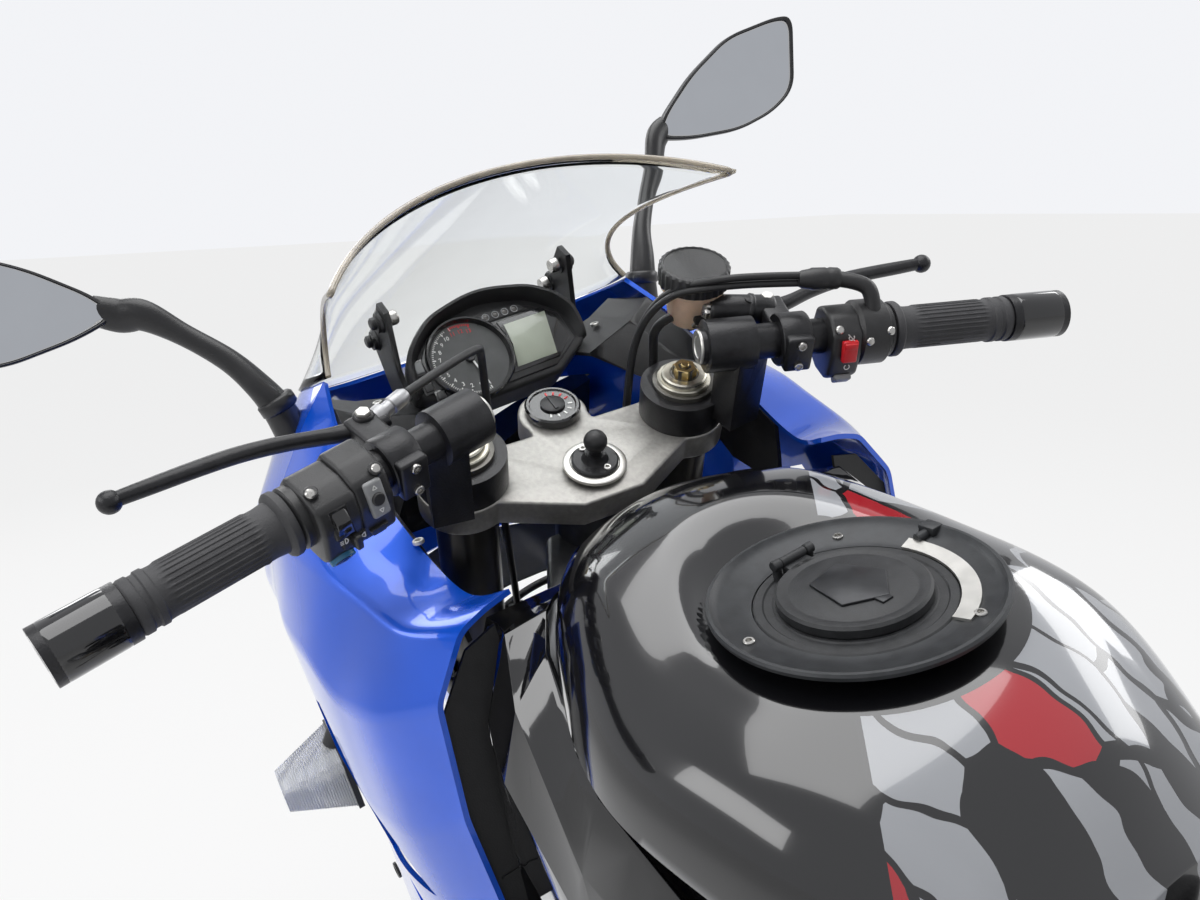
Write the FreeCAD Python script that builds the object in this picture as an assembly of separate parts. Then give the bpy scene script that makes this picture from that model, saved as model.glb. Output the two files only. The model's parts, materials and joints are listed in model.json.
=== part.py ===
"""A faired sport motorcycle with an inline four, parked on its side stand, bars turned a little right.

Everything is drawn on the upright bike, in millimetres: x forward, y left, z up, origin on the ground
below the rear axle. Pieces that steer are drawn in the steering axis' own frame: u forward across the
axis, v left, w up along it from the ground. At the end the bike is leaned and set down.
"""

import FreeCAD, Part
import math
import os
from FreeCAD import Placement, Rotation, Vector

# chassis and parking
WHEELBASE = 1445.0
RAKE = 24.5
TRAIL = 102.0
LEAN = 12.0
BAR_TURN = -6.3

# wheels: tyre radius, crown radius, half width of the rim between its flanges
FRONT_R, FRONT_CROWN, FRONT_SEAT = 300.0, 60.0, 44.5
REAR_R, REAR_CROWN, REAR_SEAT = 311.0, 97.0, 70.0
BEAD_R = 216.0
TYRE_WALL = 9.0
SHOULDER_ANGLE = 75.0
RIM_WALL = 5.0
SPOKES = 5

# axles, hubs and running fits
FIT = 0.05
SEAT_GAP = 0.3
FRONT_AXLE_R, FRONT_AXLE_BORE, FRONT_AXLE_HALF = 11.0, 8.0, 130.0
REAR_AXLE_R, REAR_AXLE_BORE, REAR_AXLE_HALF = 14.0, 9.0, 166.0
FRONT_HUB_HALF, REAR_HUB_HALF = 52.0, 62.0

# brakes
FRONT_DISC_R, FRONT_DISC_Y, DISC_THICK = 150.0, 62.0, 5.0
REAR_DISC_R, REAR_DISC_Y = 125.0, -80.0
DISC_BAND = 34.0
PAD_GAP = 5.0

# fork and yokes, in the steering frame
FORK_V = 100.0
FORK_TUBE_R, FORK_SLIDER_R = 26.0, 20.5
FORK_TOP_W, FORK_SPLIT_W, FORK_FOOT_W = 1062.0, 640.0, 400.0
YOKE_TOP_W, YOKE_THICK = 1030.0, 24.0
LOWER_YOKE_W, LOWER_YOKE_THICK = 770.0, 34.0
STEM_R, HEAD_TUBE_R = 15.0, 32.0

# handlebars, in the steering frame
BAR_W = 1118.0
BAR_R = 14.0
BAR_IN = Vector(1, 97, BAR_W)
BAR_OUT = Vector(-86, 384, BAR_W)
BAR_END_LONG, BAR_END_R = 48.0, 19.0
GRIP_START, GRIP_R = 150.0, 17.0
CLAMP_START, CLAMP_LONG = 56.0, 24.0
SWITCH_START, SWITCH_LONG = 88.0, 54.0
LEVER_TIP, LEVER_FORE = 226.0, 91.0

# tank, ring and filler
CAP_X, RING_Z = 840.0, 919.0
RING_R, RING_IN_R, RING_TALL = 84.0, 58.0, 12.0
COLLAR_R, LID_R, LID_THICK = 57.6, 44.0, 7.0
NECK_R, NECK_DEEP = 27.0, 62.0
LID_OPEN = 100.0
HINGE_X, HINGE_UP = 49.0, 14.0

# engine: tilt of the cylinders, half depth of the head, height of its exhaust ports
CYLINDER_TILT, HEAD_HALF, PORT_UP = 22.0, 90.0, 180.0

# panels
SKIN = 4.0
SCREEN_THICK = 4.0

# swingarm, chain and stand
PIVOT = Vector(555, 0, 405)
ARM_Y, ARM_HALF = 141.0, 15.0
CHAIN_Y, CHAIN_WIDE, CHAIN_TALL, CHAIN_ROOM = 110.0, 14.0, 14.0, 5.0
SPROCKET_FRONT = Vector(640, CHAIN_Y, 415)
SPROCKET_FRONT_R, SPROCKET_REAR_R = 43.0, 103.6
STAND_PIVOT = Vector(600, 132, 236)
STAND_REACH = Vector(62, 92, 0)
STAND_PAD = 6.0
STAND_FOLDED = Vector(-0.95, 0.30, -0.06)
STAND_KNUCKLE_R, STAND_KNUCKLE_HALF, STAND_PIN_R = 20.0, 13.0, 7.0

X, Y, Z = Vector(1, 0, 0), Vector(0, 1, 0), Vector(0, 0, 1)
HEAD_FOOT = Vector(800, 0, 440)
HEAD_LEAN = Vector(math.sin(math.radians(CYLINDER_TILT)), 0, math.cos(math.radians(CYLINDER_TILT)))
HEAD_ACROSS = Y.cross(HEAD_LEAN)
NODES = {}


def cyl(start, end, radius):
    """A round bar between two points."""
    return Part.makeCylinder(radius, (end - start).Length, start, end - start)


def cone(start, end, radius_a, radius_b):
    """A tapered round bar between two points."""
    return Part.makeCone(radius_a, radius_b, (end - start).Length, start, end - start)


def ball(centre, radius):
    return Part.makeSphere(radius, centre)


def block(low, high):
    """A plain box between two corners."""
    size = high - low
    return Part.makeBox(size.x, size.y, size.z, low)


def fuse(shapes):
    """Join touching pieces into one solid."""
    shapes = list(shapes)
    whole = shapes[0]
    for shape in shapes[1:]:
        whole = whole.fuse(shape)
    return whole.removeSplitter()


def group(shapes):
    """Separate solids that share a node."""
    solids = [solid for shape in shapes for solid in shape.Solids]
    return Part.makeCompound(solids)


def mirrored(shape):
    """The same piece on the other side of the bike."""
    return shape.mirror(Vector(0, 0, 0), Y)


def pair(shape):
    return group([shape, mirrored(shape)])


def prism(points, depth):
    """A flat outline, given by its corners, pushed along a vector."""
    return Part.Face(Part.makePolygon(points + points[:1])).extrude(depth)


def turned(profile, centre, axis=Y, sweep=360.0, start=0.0):
    """Revolve a closed outline of (radius, along axis) corners about a line through centre."""
    across = Z if abs(axis.z) < 0.9 else X
    side = axis.cross(across).normalize()
    out = axis.cross(side).normalize() * -1
    corners = [centre + out * radius + axis * along for radius, along in profile]
    shape = Part.Face(Part.makePolygon(corners + corners[:1])).revolve(centre, axis, sweep)
    if start:
        shape.rotate(centre, axis, start)
    return shape


def rounded(x, y, z, half_y, half_z, corner):
    """A rectangle with round corners in the plane x, centred on y, z."""
    ends = []
    for turn, (sy, sz) in enumerate(((1, 1), (-1, 1), (-1, -1), (1, -1))):
        middle = Vector(x, y + sy * (half_y - corner), z + sz * (half_z - corner))
        angle = math.radians(90.0 * turn)
        ends.append([middle + Vector(0, math.cos(angle + k), math.sin(angle + k)) * corner
                     for k in (0, math.pi / 4, math.pi / 2)])
    edges = []
    for index, (a, b, c) in enumerate(ends):
        edges.append(Part.Arc(a, b, c).toShape())
        edges.append(Part.LineSegment(c, ends[(index + 1) % 4][0]).toShape())
    return Part.Wire(edges)


def loft(wires, ruled=True):
    return Part.makeLoft(wires, True, ruled)


def spar(rows, ruled=True):
    """A beam through rounded rectangles; rows hold x, y, z, half width, half height, corner."""
    return loft([rounded(*row) for row in rows], ruled)


def inset(outline, wall):
    """The points of an open outline moved to its right by the wall, mitred at its corners."""
    moved = []
    for index, (s, z) in enumerate(outline):
        before = outline[max(index - 1, 0)]
        after = outline[min(index + 1, len(outline) - 1)]
        normals = []
        for a, b in ((before, (s, z)), ((s, z), after)):
            length = math.hypot(b[0] - a[0], b[1] - a[1])
            if length:
                normals.append(((b[1] - a[1]) / length, -(b[0] - a[0]) / length))
        ns = sum(n[0] for n in normals) / len(normals)
        nz = sum(n[1] for n in normals) / len(normals)
        scale = wall / (ns * ns + nz * nz)
        moved.append((s + ns * scale, z + nz * scale))
    return moved


def skin(stations, wall=SKIN, ruled=False):
    """A panel lofted through upright stations; rows hold x, y, heading, then (outward, z) points.

    The points run along the outside with the wall on their right, so from the top edge down when
    outward is to the left of the bike."""
    wires = []
    for x, y, heading, outline in stations:
        out = Vector(math.cos(math.radians(heading)), math.sin(math.radians(heading)), 0)
        ring = list(outline) + inset(outline, wall)[::-1]
        corners = [Vector(x, y, 0) + out * s + Z * z for s, z in ring]
        wires.append(Part.makePolygon(corners + corners[:1]))
    return loft(wires, ruled)


def route(points, share=0.45):
    """A line through points with each corner rounded as far as its two runs allow."""
    edges, start, radii = [], points[0], []
    for before, corner, after in zip(points, points[1:], points[2:]):
        back, ahead = before - corner, after - corner
        length_in, length_out = back.Length, ahead.Length
        half = (math.pi - back.getAngle(ahead)) / 2
        trim = share * min(length_in, length_out)
        radius = trim / math.tan(half)
        radii.append(radius)
        back.normalize()
        ahead.normalize()
        a, b = corner + back * trim, corner + ahead * trim
        centre = corner + (back + ahead).normalize() * (radius / math.cos(half))
        middle = centre + (corner - centre).normalize() * radius
        edges.append(Part.LineSegment(start, a).toShape())
        edges.append(Part.Arc(a, middle, b).toShape())
        start = b
    edges.append(Part.LineSegment(start, points[-1]).toShape())
    return Part.Wire(edges), min(radii) if radii else 0.0


def pipe(points, radius, bore=0.0):
    """A round tube along a route."""
    path, _ = route(points)
    first = points[1] - points[0]
    solids = []
    for size in (radius, bore):
        if size:
            ring = Part.Wire(Part.makeCircle(size, points[0], first))
            solids.append(path.makePipeShell([ring], True, True))
    return solids[0].cut(solids[1]) if bore else solids[0]


def seat(piece, *others):
    """Trim a piece back to the faces of what carries it."""
    for other in others:
        piece = piece.cut(other)
    return piece


def node(name, body, shape):
    NODES[name] = (body, shape)
    return shape


# the steering frame, and where each axle stands
AXIS_UP = Vector(-math.sin(math.radians(RAKE)), 0, math.cos(math.radians(RAKE)))
AXIS_FORE = Vector(math.cos(math.radians(RAKE)), 0, math.sin(math.radians(RAKE)))
AXIS_FOOT = Vector(WHEELBASE + TRAIL, 0, 0)


def axle_height(radius, crown):
    """Height on the upright bike of an axle whose tyre stands on the ground when leaned."""
    return radius - crown + crown / math.cos(math.radians(LEAN))


FRONT_AXLE = Vector(WHEELBASE, 0, axle_height(FRONT_R, FRONT_CROWN))
REAR_AXLE = Vector(0, 0, axle_height(REAR_R, REAR_CROWN))
OFFSET_U = (FRONT_AXLE - AXIS_FOOT).dot(AXIS_FORE)
AXLE_W = (FRONT_AXLE - AXIS_FOOT).dot(AXIS_UP)
STEER_FRAME = FreeCAD.Matrix(
    AXIS_FORE.x, 0, AXIS_UP.x, AXIS_FOOT.x, 0, 1, 0, 0, AXIS_FORE.z, 0, AXIS_UP.z, 0, 0, 0, 0, 1)


def steered(shape):
    """Move a piece from the steering frame to the upright bike."""
    return shape.transformed(STEER_FRAME, True)


def at_steer(u, v, w):
    return AXIS_FOOT + AXIS_FORE * u + Y * v + AXIS_UP * w


BAR_ALONG = (BAR_OUT - BAR_IN).normalize()
BAR_FORE = BAR_ALONG.cross(Z)
BAR_LONG = (BAR_OUT - BAR_IN).Length


def on_bar(along, fore=0.0, up=0.0):
    """A point beside the left bar, in the steering frame."""
    return BAR_IN + BAR_ALONG * along + BAR_FORE * fore + Z * up


def bar_block(along, fore, up):
    """A box square to the left bar; each argument is a low and high pair."""
    corners = [on_bar(along[0], f, up[0]) for f in fore]
    outline = [corners[0], corners[1], on_bar(along[1], fore[1], up[0]), on_bar(along[1], fore[0], up[0])]
    return prism(outline, Z * (up[1] - up[0]))


def tyre(centre, radius, crown, seat_half):
    """A tyre as a U section with its beads, turned about the axle."""
    rise = math.radians(SHOULDER_ANGLE)
    ring = radius - crown
    wall = TYRE_WALL

    def at(size, angle):
        return Vector(0, size * math.sin(angle), ring + size * math.cos(angle))

    outer = [at(crown, -rise), at(crown, 0), at(crown, rise)]
    inner = [at(crown - wall, rise), at(crown - wall, 0), at(crown - wall, -rise)]
    bead = [Vector(0, seat_half, BEAD_R + 12), Vector(0, seat_half, BEAD_R),
            Vector(0, seat_half - wall, BEAD_R)]
    other = [Vector(0, -p.y, p.z) for p in bead[::-1]]
    edges = [Part.Arc(*outer).toShape()]
    chain = [outer[2]] + bead + [inner[0]]
    edges += [Part.LineSegment(a, b).toShape() for a, b in zip(chain, chain[1:])]
    edges.append(Part.Arc(*inner).toShape())
    chain = [inner[2]] + other + [outer[0]]
    edges += [Part.LineSegment(a, b).toShape() for a, b in zip(chain, chain[1:])]
    shape = Part.Face(Part.Wire(edges)).revolve(Vector(0, 0, 0), Y, 360)
    return shape.translated(centre)


def rim(centre, seat_half, hub_half, hub_r, axle_r, spoke_half):
    """A cast wheel: barrel with flanges and drop centre, hub, and forked spokes."""
    wall, well = RIM_WALL, 16.0
    flange = BEAD_R + 9
    barrel = turned([(BEAD_R, -seat_half), (flange, -seat_half), (flange, -seat_half - wall),
                     (BEAD_R - wall - 4, -seat_half - wall), (BEAD_R - well - wall, -22),
                     (BEAD_R - well - wall, 22), (BEAD_R - wall - 4, seat_half + wall),
                     (flange, seat_half + wall), (flange, seat_half), (BEAD_R, seat_half),
                     (BEAD_R, seat_half - 14), (BEAD_R - well, 16), (BEAD_R - well, -16),
                     (BEAD_R, 14 - seat_half)], Vector(0, 0, 0))
    hub = turned([(axle_r + FIT, -hub_half), (hub_r, -hub_half), (hub_r + 6, 0), (hub_r, hub_half),
                  (axle_r + FIT, hub_half)], Vector(0, 0, 0))
    arms = []
    reach = BEAD_R - well - 2
    for index in range(SPOKES):
        turn = 360.0 * index / SPOKES
        for lean in (-1, 1):
            foot, tip = Vector(lean * 9, 0, hub_r - 6), Vector(lean * 46, 0, reach)
            arm = loft([
                Part.makePolygon([foot + Vector(a, b, 0) for a, b in
                                  ((-11, -spoke_half), (11, -spoke_half), (11, spoke_half),
                                   (-11, spoke_half), (-11, -spoke_half))]),
                Part.makePolygon([tip + Vector(a, b, 0) for a, b in
                                  ((-8, -12), (8, -12), (8, 12), (-8, 12), (-8, -12))])])
            arm.rotate(Vector(0, 0, 0), Y, turn)
            arms.append(arm)
    bore = cyl(Y * -200, Y * 200, axle_r + FIT)
    return fuse([barrel, hub] + arms).cut(bore).translated(centre)


def disc(centre, radius, band, thick, hub_r, arms=5):
    """A brake disc: friction ring on a carrier with straight arms."""
    half = thick / 2
    ring = turned([(radius - band, -half), (radius, -half), (radius, half), (radius - band, half)],
                  Vector(0, 0, 0))
    inner = turned([(hub_r, -half), (hub_r + 16, -half), (hub_r + 16, half), (hub_r, half)],
                   Vector(0, 0, 0))
    spokes = []
    for index in range(arms):
        arm = block(Vector(-11, -half, hub_r + 8), Vector(11, half, radius - band + 4))
        arm.rotate(Vector(0, 0, 0), Y, 360.0 * index / arms)
        spokes.append(arm)
    return fuse([ring, inner] + spokes).translated(centre)


def build_front_wheel():
    node("front_tyre", "front_wheel", tyre(FRONT_AXLE, FRONT_R, FRONT_CROWN, FRONT_SEAT))
    wheel = rim(FRONT_AXLE, FRONT_SEAT, FRONT_HUB_HALF, 34.0, FRONT_AXLE_R, 13.0)
    half = DISC_THICK / 2
    carriers = [cyl(FRONT_AXLE + Y * side * 20, FRONT_AXLE + Y * side * (FRONT_DISC_Y - half), 48.0)
                for side in (-1, 1)]
    bore = cyl(FRONT_AXLE - Y * 99, FRONT_AXLE + Y * 99, FRONT_AXLE_R + FIT)
    node("front_rim", "front_wheel", fuse([wheel] + carriers).cut(bore))
    discs = [disc(FRONT_AXLE + Y * side * FRONT_DISC_Y, FRONT_DISC_R, DISC_BAND, DISC_THICK, 36.0)
             for side in (-1, 1)]
    node("front_discs", "front_wheel", group(discs))


def build_rear_wheel():
    node("rear_tyre", "rear_wheel", tyre(REAR_AXLE, REAR_R, REAR_CROWN, REAR_SEAT))
    wheel = rim(REAR_AXLE, REAR_SEAT, REAR_HUB_HALF, 40.0, REAR_AXLE_R, 15.0)
    half = DISC_THICK / 2
    disc_seat = cyl(REAR_AXLE - Y * 20, REAR_AXLE + Y * (REAR_DISC_Y + half), 46.0)
    chain_seat = cyl(REAR_AXLE + Y * 20, REAR_AXLE + Y * (CHAIN_Y - half), 62.0)
    bore = cyl(REAR_AXLE - Y * 140, REAR_AXLE + Y * 140, REAR_AXLE_R + FIT)
    node("rear_rim", "rear_wheel", fuse([wheel, disc_seat, chain_seat]).cut(bore))
    node("rear_disc", "rear_wheel",
         disc(REAR_AXLE + Y * REAR_DISC_Y, REAR_DISC_R, 30.0, DISC_THICK, 34.0))
    teeth_r = SPROCKET_REAR_R - CHAIN_TALL / 2 - SEAT_GAP
    node("rear_sprocket", "rear_wheel",
         disc(REAR_AXLE + Y * CHAIN_Y, teeth_r, 22.0, DISC_THICK, 38.0, 6))


def build_axles():
    for centre, radius, hole, half, name, body in (
            (FRONT_AXLE, FRONT_AXLE_R, FRONT_AXLE_BORE, FRONT_AXLE_HALF, "front_axle", "steering"),
            (REAR_AXLE, REAR_AXLE_R, REAR_AXLE_BORE, REAR_AXLE_HALF, "rear_axle", "root")):
        shaft = cyl(centre - Y * half, centre + Y * half, radius)
        nuts = [cyl(centre + Y * side * half, centre + Y * side * (half + 10), radius + 7)
                for side in (-1, 1)]
        hollow = cyl(centre - Y * (half + 20), centre + Y * (half + 20), hole)
        node(name, body, fuse([shaft] + nuts).cut(hollow))


def build_fork():
    tube = cyl(Vector(OFFSET_U, FORK_V, FORK_SPLIT_W), Vector(OFFSET_U, FORK_V, FORK_TOP_W), FORK_TUBE_R)
    seal = cyl(Vector(OFFSET_U, FORK_V, FORK_SPLIT_W - 14), Vector(OFFSET_U, FORK_V, FORK_SPLIT_W),
               FORK_TUBE_R - 2)
    slider = cyl(Vector(OFFSET_U, FORK_V, AXLE_W), Vector(OFFSET_U, FORK_V, FORK_SPLIT_W), FORK_SLIDER_R)
    foot = cone(Vector(OFFSET_U, FORK_V, AXLE_W + 8), Vector(OFFSET_U, FORK_V, FORK_FOOT_W), 28, 25)
    clamp = cyl(Vector(OFFSET_U, FORK_V - 26, AXLE_W), Vector(OFFSET_U, FORK_V + 24, AXLE_W), 28)
    lug = block(Vector(OFFSET_U - 74, FORK_V - 24, AXLE_W + 66), Vector(OFFSET_U, FORK_V - 4, AXLE_W + 96))
    lug = lug.fuse(block(Vector(OFFSET_U - 74, FORK_V - 24, AXLE_W + 8),
                         Vector(OFFSET_U, FORK_V - 4, AXLE_W + 30)))
    cap = Part.makeCylinder(19, 7, Vector(OFFSET_U, FORK_V, FORK_TOP_W))
    cap = cap.fuse(prism([Vector(OFFSET_U + 10 * math.cos(k * math.pi / 3),
                                 FORK_V + 10 * math.sin(k * math.pi / 3), FORK_TOP_W + 7)
                          for k in range(6)], Z * 8))
    leg = fuse([tube, seal, slider, foot, clamp, lug, cap])
    leg = leg.cut(cyl(Vector(OFFSET_U, 0, AXLE_W), Vector(OFFSET_U, 200, AXLE_W), FRONT_AXLE_R))
    return node("fork_legs", "steering", steered(pair(leg)))


def build_yokes():
    def clamp_plate(low, thick, arm):
        """A plate from the stem to both fork tubes."""
        base, rise = Vector(0, 0, low), Z * thick
        rings = [Part.makeCylinder(FORK_TUBE_R + 11, thick, Vector(OFFSET_U, side * FORK_V, low))
                 for side in (-1, 1)]
        web = prism([base + Vector(u, v, 0) for u, v in
                     ((-34, -26), (-34, 26), (OFFSET_U - arm, FORK_V), (OFFSET_U + arm, FORK_V),
                      (OFFSET_U + 26, 30), (OFFSET_U + 26, -30), (OFFSET_U + arm, -FORK_V),
                      (OFFSET_U - arm, -FORK_V))], rise)
        return fuse(rings + [web, Part.makeCylinder(34, thick, base)])

    holes = [Part.makeCylinder(FORK_TUBE_R, 900, Vector(OFFSET_U, side * FORK_V, 400)) for side in (-1, 1)]
    low = YOKE_TOP_W - YOKE_THICK
    upper = clamp_plate(low, YOKE_THICK, 26)
    upper = fuse([upper, Part.makeCylinder(30, YOKE_THICK, Vector(78, 0, low)),
                  block(Vector(40, -28, low), Vector(78, 28, YOKE_TOP_W))])
    upper = upper.cut(Part.makeCylinder(STEM_R, 200, Vector(0, 0, low - 60)))
    upper = upper.cut(Part.makeCylinder(21, 60, Vector(78, 0, low - 10))).cut(holes[0]).cut(holes[1])
    node("upper_yoke", "steering", steered(upper))
    base = clamp_plate(LOWER_YOKE_W, LOWER_YOKE_THICK, 30)
    stem = Part.makeCylinder(STEM_R, YOKE_TOP_W + 3 - LOWER_YOKE_W, Vector(0, 0, LOWER_YOKE_W))
    lower = fuse([base, stem, Part.makeCylinder(HEAD_TUBE_R, 4, Vector(0, 0, LOWER_YOKE_W + 34))])
    node("lower_yoke", "steering", steered(lower.cut(holes[0]).cut(holes[1])))
    washer = Part.makeCylinder(25, 4, Vector(0, 0, YOKE_TOP_W + 3))
    plate = Part.makeCylinder(20, 3, Vector(0, 0, YOKE_TOP_W + 7))
    neck = Part.makeCylinder(5, 14, Vector(0, 0, YOKE_TOP_W + 10))
    node("ball_mount", "steering", steered(fuse([washer, plate, neck, ball(Vector(0, 0, YOKE_TOP_W + 28), 9.5)])))
    lock = fuse([Part.makeCylinder(20.7, 44, Vector(78, 0, YOKE_TOP_W - 38)),
                 Part.makeCylinder(24, 9, Vector(78, 0, YOKE_TOP_W))])
    lock = lock.cut(block(Vector(77, -5, YOKE_TOP_W + 5), Vector(79, 5, YOKE_TOP_W + 12)))
    node("ignition_lock", "steering", steered(lock))


def build_bars():
    """Cast risers over the fork caps, bar tubes, end weights, and the rubber grips."""
    riser_low = YOKE_TOP_W
    collar = Part.makeCylinder(FORK_TUBE_R + 10, 28, Vector(OFFSET_U, FORK_V, riser_low))
    collar = collar.cut(Part.makeCylinder(FORK_TUBE_R, 60, Vector(OFFSET_U, FORK_V, riser_low - 9)))
    post_low = riser_low + 14
    post = prism([Vector(-24, 112, post_low), Vector(2, 108, post_low), Vector(12, 136, post_low),
                  Vector(-20, 142, post_low)], Z * (BAR_W - 4 - post_low))
    holder = cyl(on_bar(-2), on_bar(36), BAR_R + 7)
    bar = cyl(on_bar(-6), on_bar(BAR_LONG - BAR_END_LONG), BAR_R)
    weight = cyl(on_bar(BAR_LONG - BAR_END_LONG), on_bar(BAR_LONG), BAR_END_R)
    side = fuse([collar, post, holder, bar, weight])
    node("handlebars", "steering", steered(pair(side)))
    grip_end = BAR_LONG - BAR_END_LONG - SEAT_GAP
    rubber = cyl(on_bar(GRIP_START), on_bar(grip_end), GRIP_R)
    rubber = rubber.fuse(cyl(on_bar(GRIP_START), on_bar(GRIP_START + 6), GRIP_R + 5))
    rubber = rubber.cut(cyl(on_bar(0), on_bar(BAR_LONG), BAR_R))
    node("grips", "steering", steered(pair(rubber)))


def build_controls():
    """Switch housings, the two lever perches with their levers, and the fluid reservoir."""
    bore = cyl(on_bar(0), on_bar(BAR_LONG), BAR_R)
    end = SWITCH_START + SWITCH_LONG
    left = fuse([bar_block((SWITCH_START, end), (-24, 22), (-30, 24)),
                 cyl(on_bar(SWITCH_START), on_bar(end), 24)]).cut(bore)
    right = fuse([cyl(on_bar(SWITCH_START + 6), on_bar(end), 25),
                  bar_block((SWITCH_START + 6, end), (-22, 20), (-32, 18))]).cut(bore)
    node("switchgear", "steering", steered(group([left, mirrored(right)])))

    clamp = cyl(on_bar(CLAMP_START), on_bar(CLAMP_START + CLAMP_LONG), BAR_R + 7)
    neck = bar_block((CLAMP_START + 2, CLAMP_START + CLAMP_LONG - 2), (10, 46), (-9, 9))
    blade = prism([on_bar(s, f, -5) for s, f in
                   ((CLAMP_START - 6, 34), (CLAMP_START + 20, 30), (118, 60), (170, 76), (LEVER_TIP - 6, 84),
                    (LEVER_TIP - 4, 97), (160, 90), (108, 76), (CLAMP_START + 6, 58), (CLAMP_START - 6, 50))],
                  Z * 10)
    knob = ball(on_bar(LEVER_TIP - 4, LEVER_FORE, 0), 8)
    lever = fuse([clamp, neck, blade, knob]).cut(bore)
    adjuster = cyl(on_bar(CLAMP_START + 4, 44, 0), on_bar(CLAMP_START - 34, 50, 4), 7)
    node("clutch_lever", "steering", steered(fuse([lever, adjuster])))
    master = cyl(on_bar(CLAMP_START + 12, 40, 0), on_bar(CLAMP_START - 42, 46, 2), 13)
    node("brake_lever", "steering", steered(mirrored(fuse([lever, master]).cut(bore))))
    foot = on_bar(5, 66, -20)
    cup = fuse([Part.makeCylinder(20, 34, foot), Part.makeCylinder(27, 4, foot + Z * 34),
                Part.makeCylinder(29.5, 17, foot + Z * 38)])
    arm = bar_block((2, CLAMP_START + 4), (40, 62), (-8, 0))
    node("brake_reservoir", "steering", seat(steered(mirrored(fuse([cup, arm]))), NODES["brake_lever"][1]))


def build_front_brakes(fork):
    def caliper(side):
        centre = Vector(OFFSET_U - 104, side * FRONT_DISC_Y, AXLE_W + 52)
        body = block(centre - Vector(34, 22, 52), centre + Vector(34, 30, 52))
        if side < 0:
            body = block(centre - Vector(34, 30, 52), centre + Vector(34, 22, 52))
        slot = PAD_GAP + DISC_THICK / 2
        return body.cut(cyl(Vector(OFFSET_U, centre.y - slot, AXLE_W),
                            Vector(OFFSET_U, centre.y + slot, AXLE_W), FRONT_DISC_R + PAD_GAP))

    node("front_calipers", "steering", seat(steered(group([caliper(-1), caliper(1)])), fork))


def build_fender(fork):
    """Front mudguard: a thin channel turned over the tyre, with pads that meet the fork legs."""
    gap, half, wall = 7.0, 66.0, 3.0
    inner = FRONT_R + gap
    profile = [(inner, -half + 18), (inner - 16, -half + 2), (inner - 52, -half + 1), (inner - 52, -half - 2),
               (inner - 14, -half - 2), (inner + wall + 1, -half + 17), (inner + wall + 6, 0),
               (inner + wall + 1, half - 17), (inner - 14, half + 2), (inner - 52, half + 2),
               (inner - 52, half - 1), (inner - 16, half - 2), (inner, half - 18), (inner + 5, 0)]
    shell = turned(profile, FRONT_AXLE, Y, 128, -64)
    pads = pair(cyl(at_steer(OFFSET_U, half + 1, AXLE_W + inner - 36),
                    at_steer(OFFSET_U, FORK_V - 10, AXLE_W + inner - 36), 14))
    shell = fuse([shell] + list(pads.Solids))
    node("front_fender", "steering", seat(shell, fork))


def build_frame(stand_axis):
    head_low, head_high = LOWER_YOKE_W + LOWER_YOKE_THICK + 4 + SEAT_GAP, YOKE_TOP_W - YOKE_THICK - SEAT_GAP
    head = cyl(at_steer(0, 0, head_low), at_steer(0, 0, head_high), HEAD_TUBE_R)
    beam = spar([(1150, 26, 842, 20, 40, 8), (1090, 62, 812, 22, 46, 10), (990, 160, 742, 18, 48, 10),
                 (800, 168, 640, 16, 46, 10), (660, 160, 556, 15, 44, 10), (590, 148, 470, 15, 60, 10)])
    plate = prism([Vector(610, 134, 520), Vector(520, 134, 470), Vector(515, 134, 360), Vector(560, 134, 300),
                   Vector(625, 134, 330), Vector(640, 134, 470)], Y * 26)
    ears = [beam, plate, mirrored(beam), mirrored(plate)]
    cross = cyl(Vector(590, -140, 487), Vector(590, 140, 487), 13)
    low_cross = cyl(Vector(575, -140, 325), Vector(575, 140, 325), 16)
    stem = cyl(at_steer(0, 0, head_low - 200), at_steer(0, 0, head_high + 50), STEM_R + FIT)
    frame = fuse([head] + ears + [cross, low_cross, stand_bracket(stand_axis)]).cut(stem)
    return node("frame", "root", frame)


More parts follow.
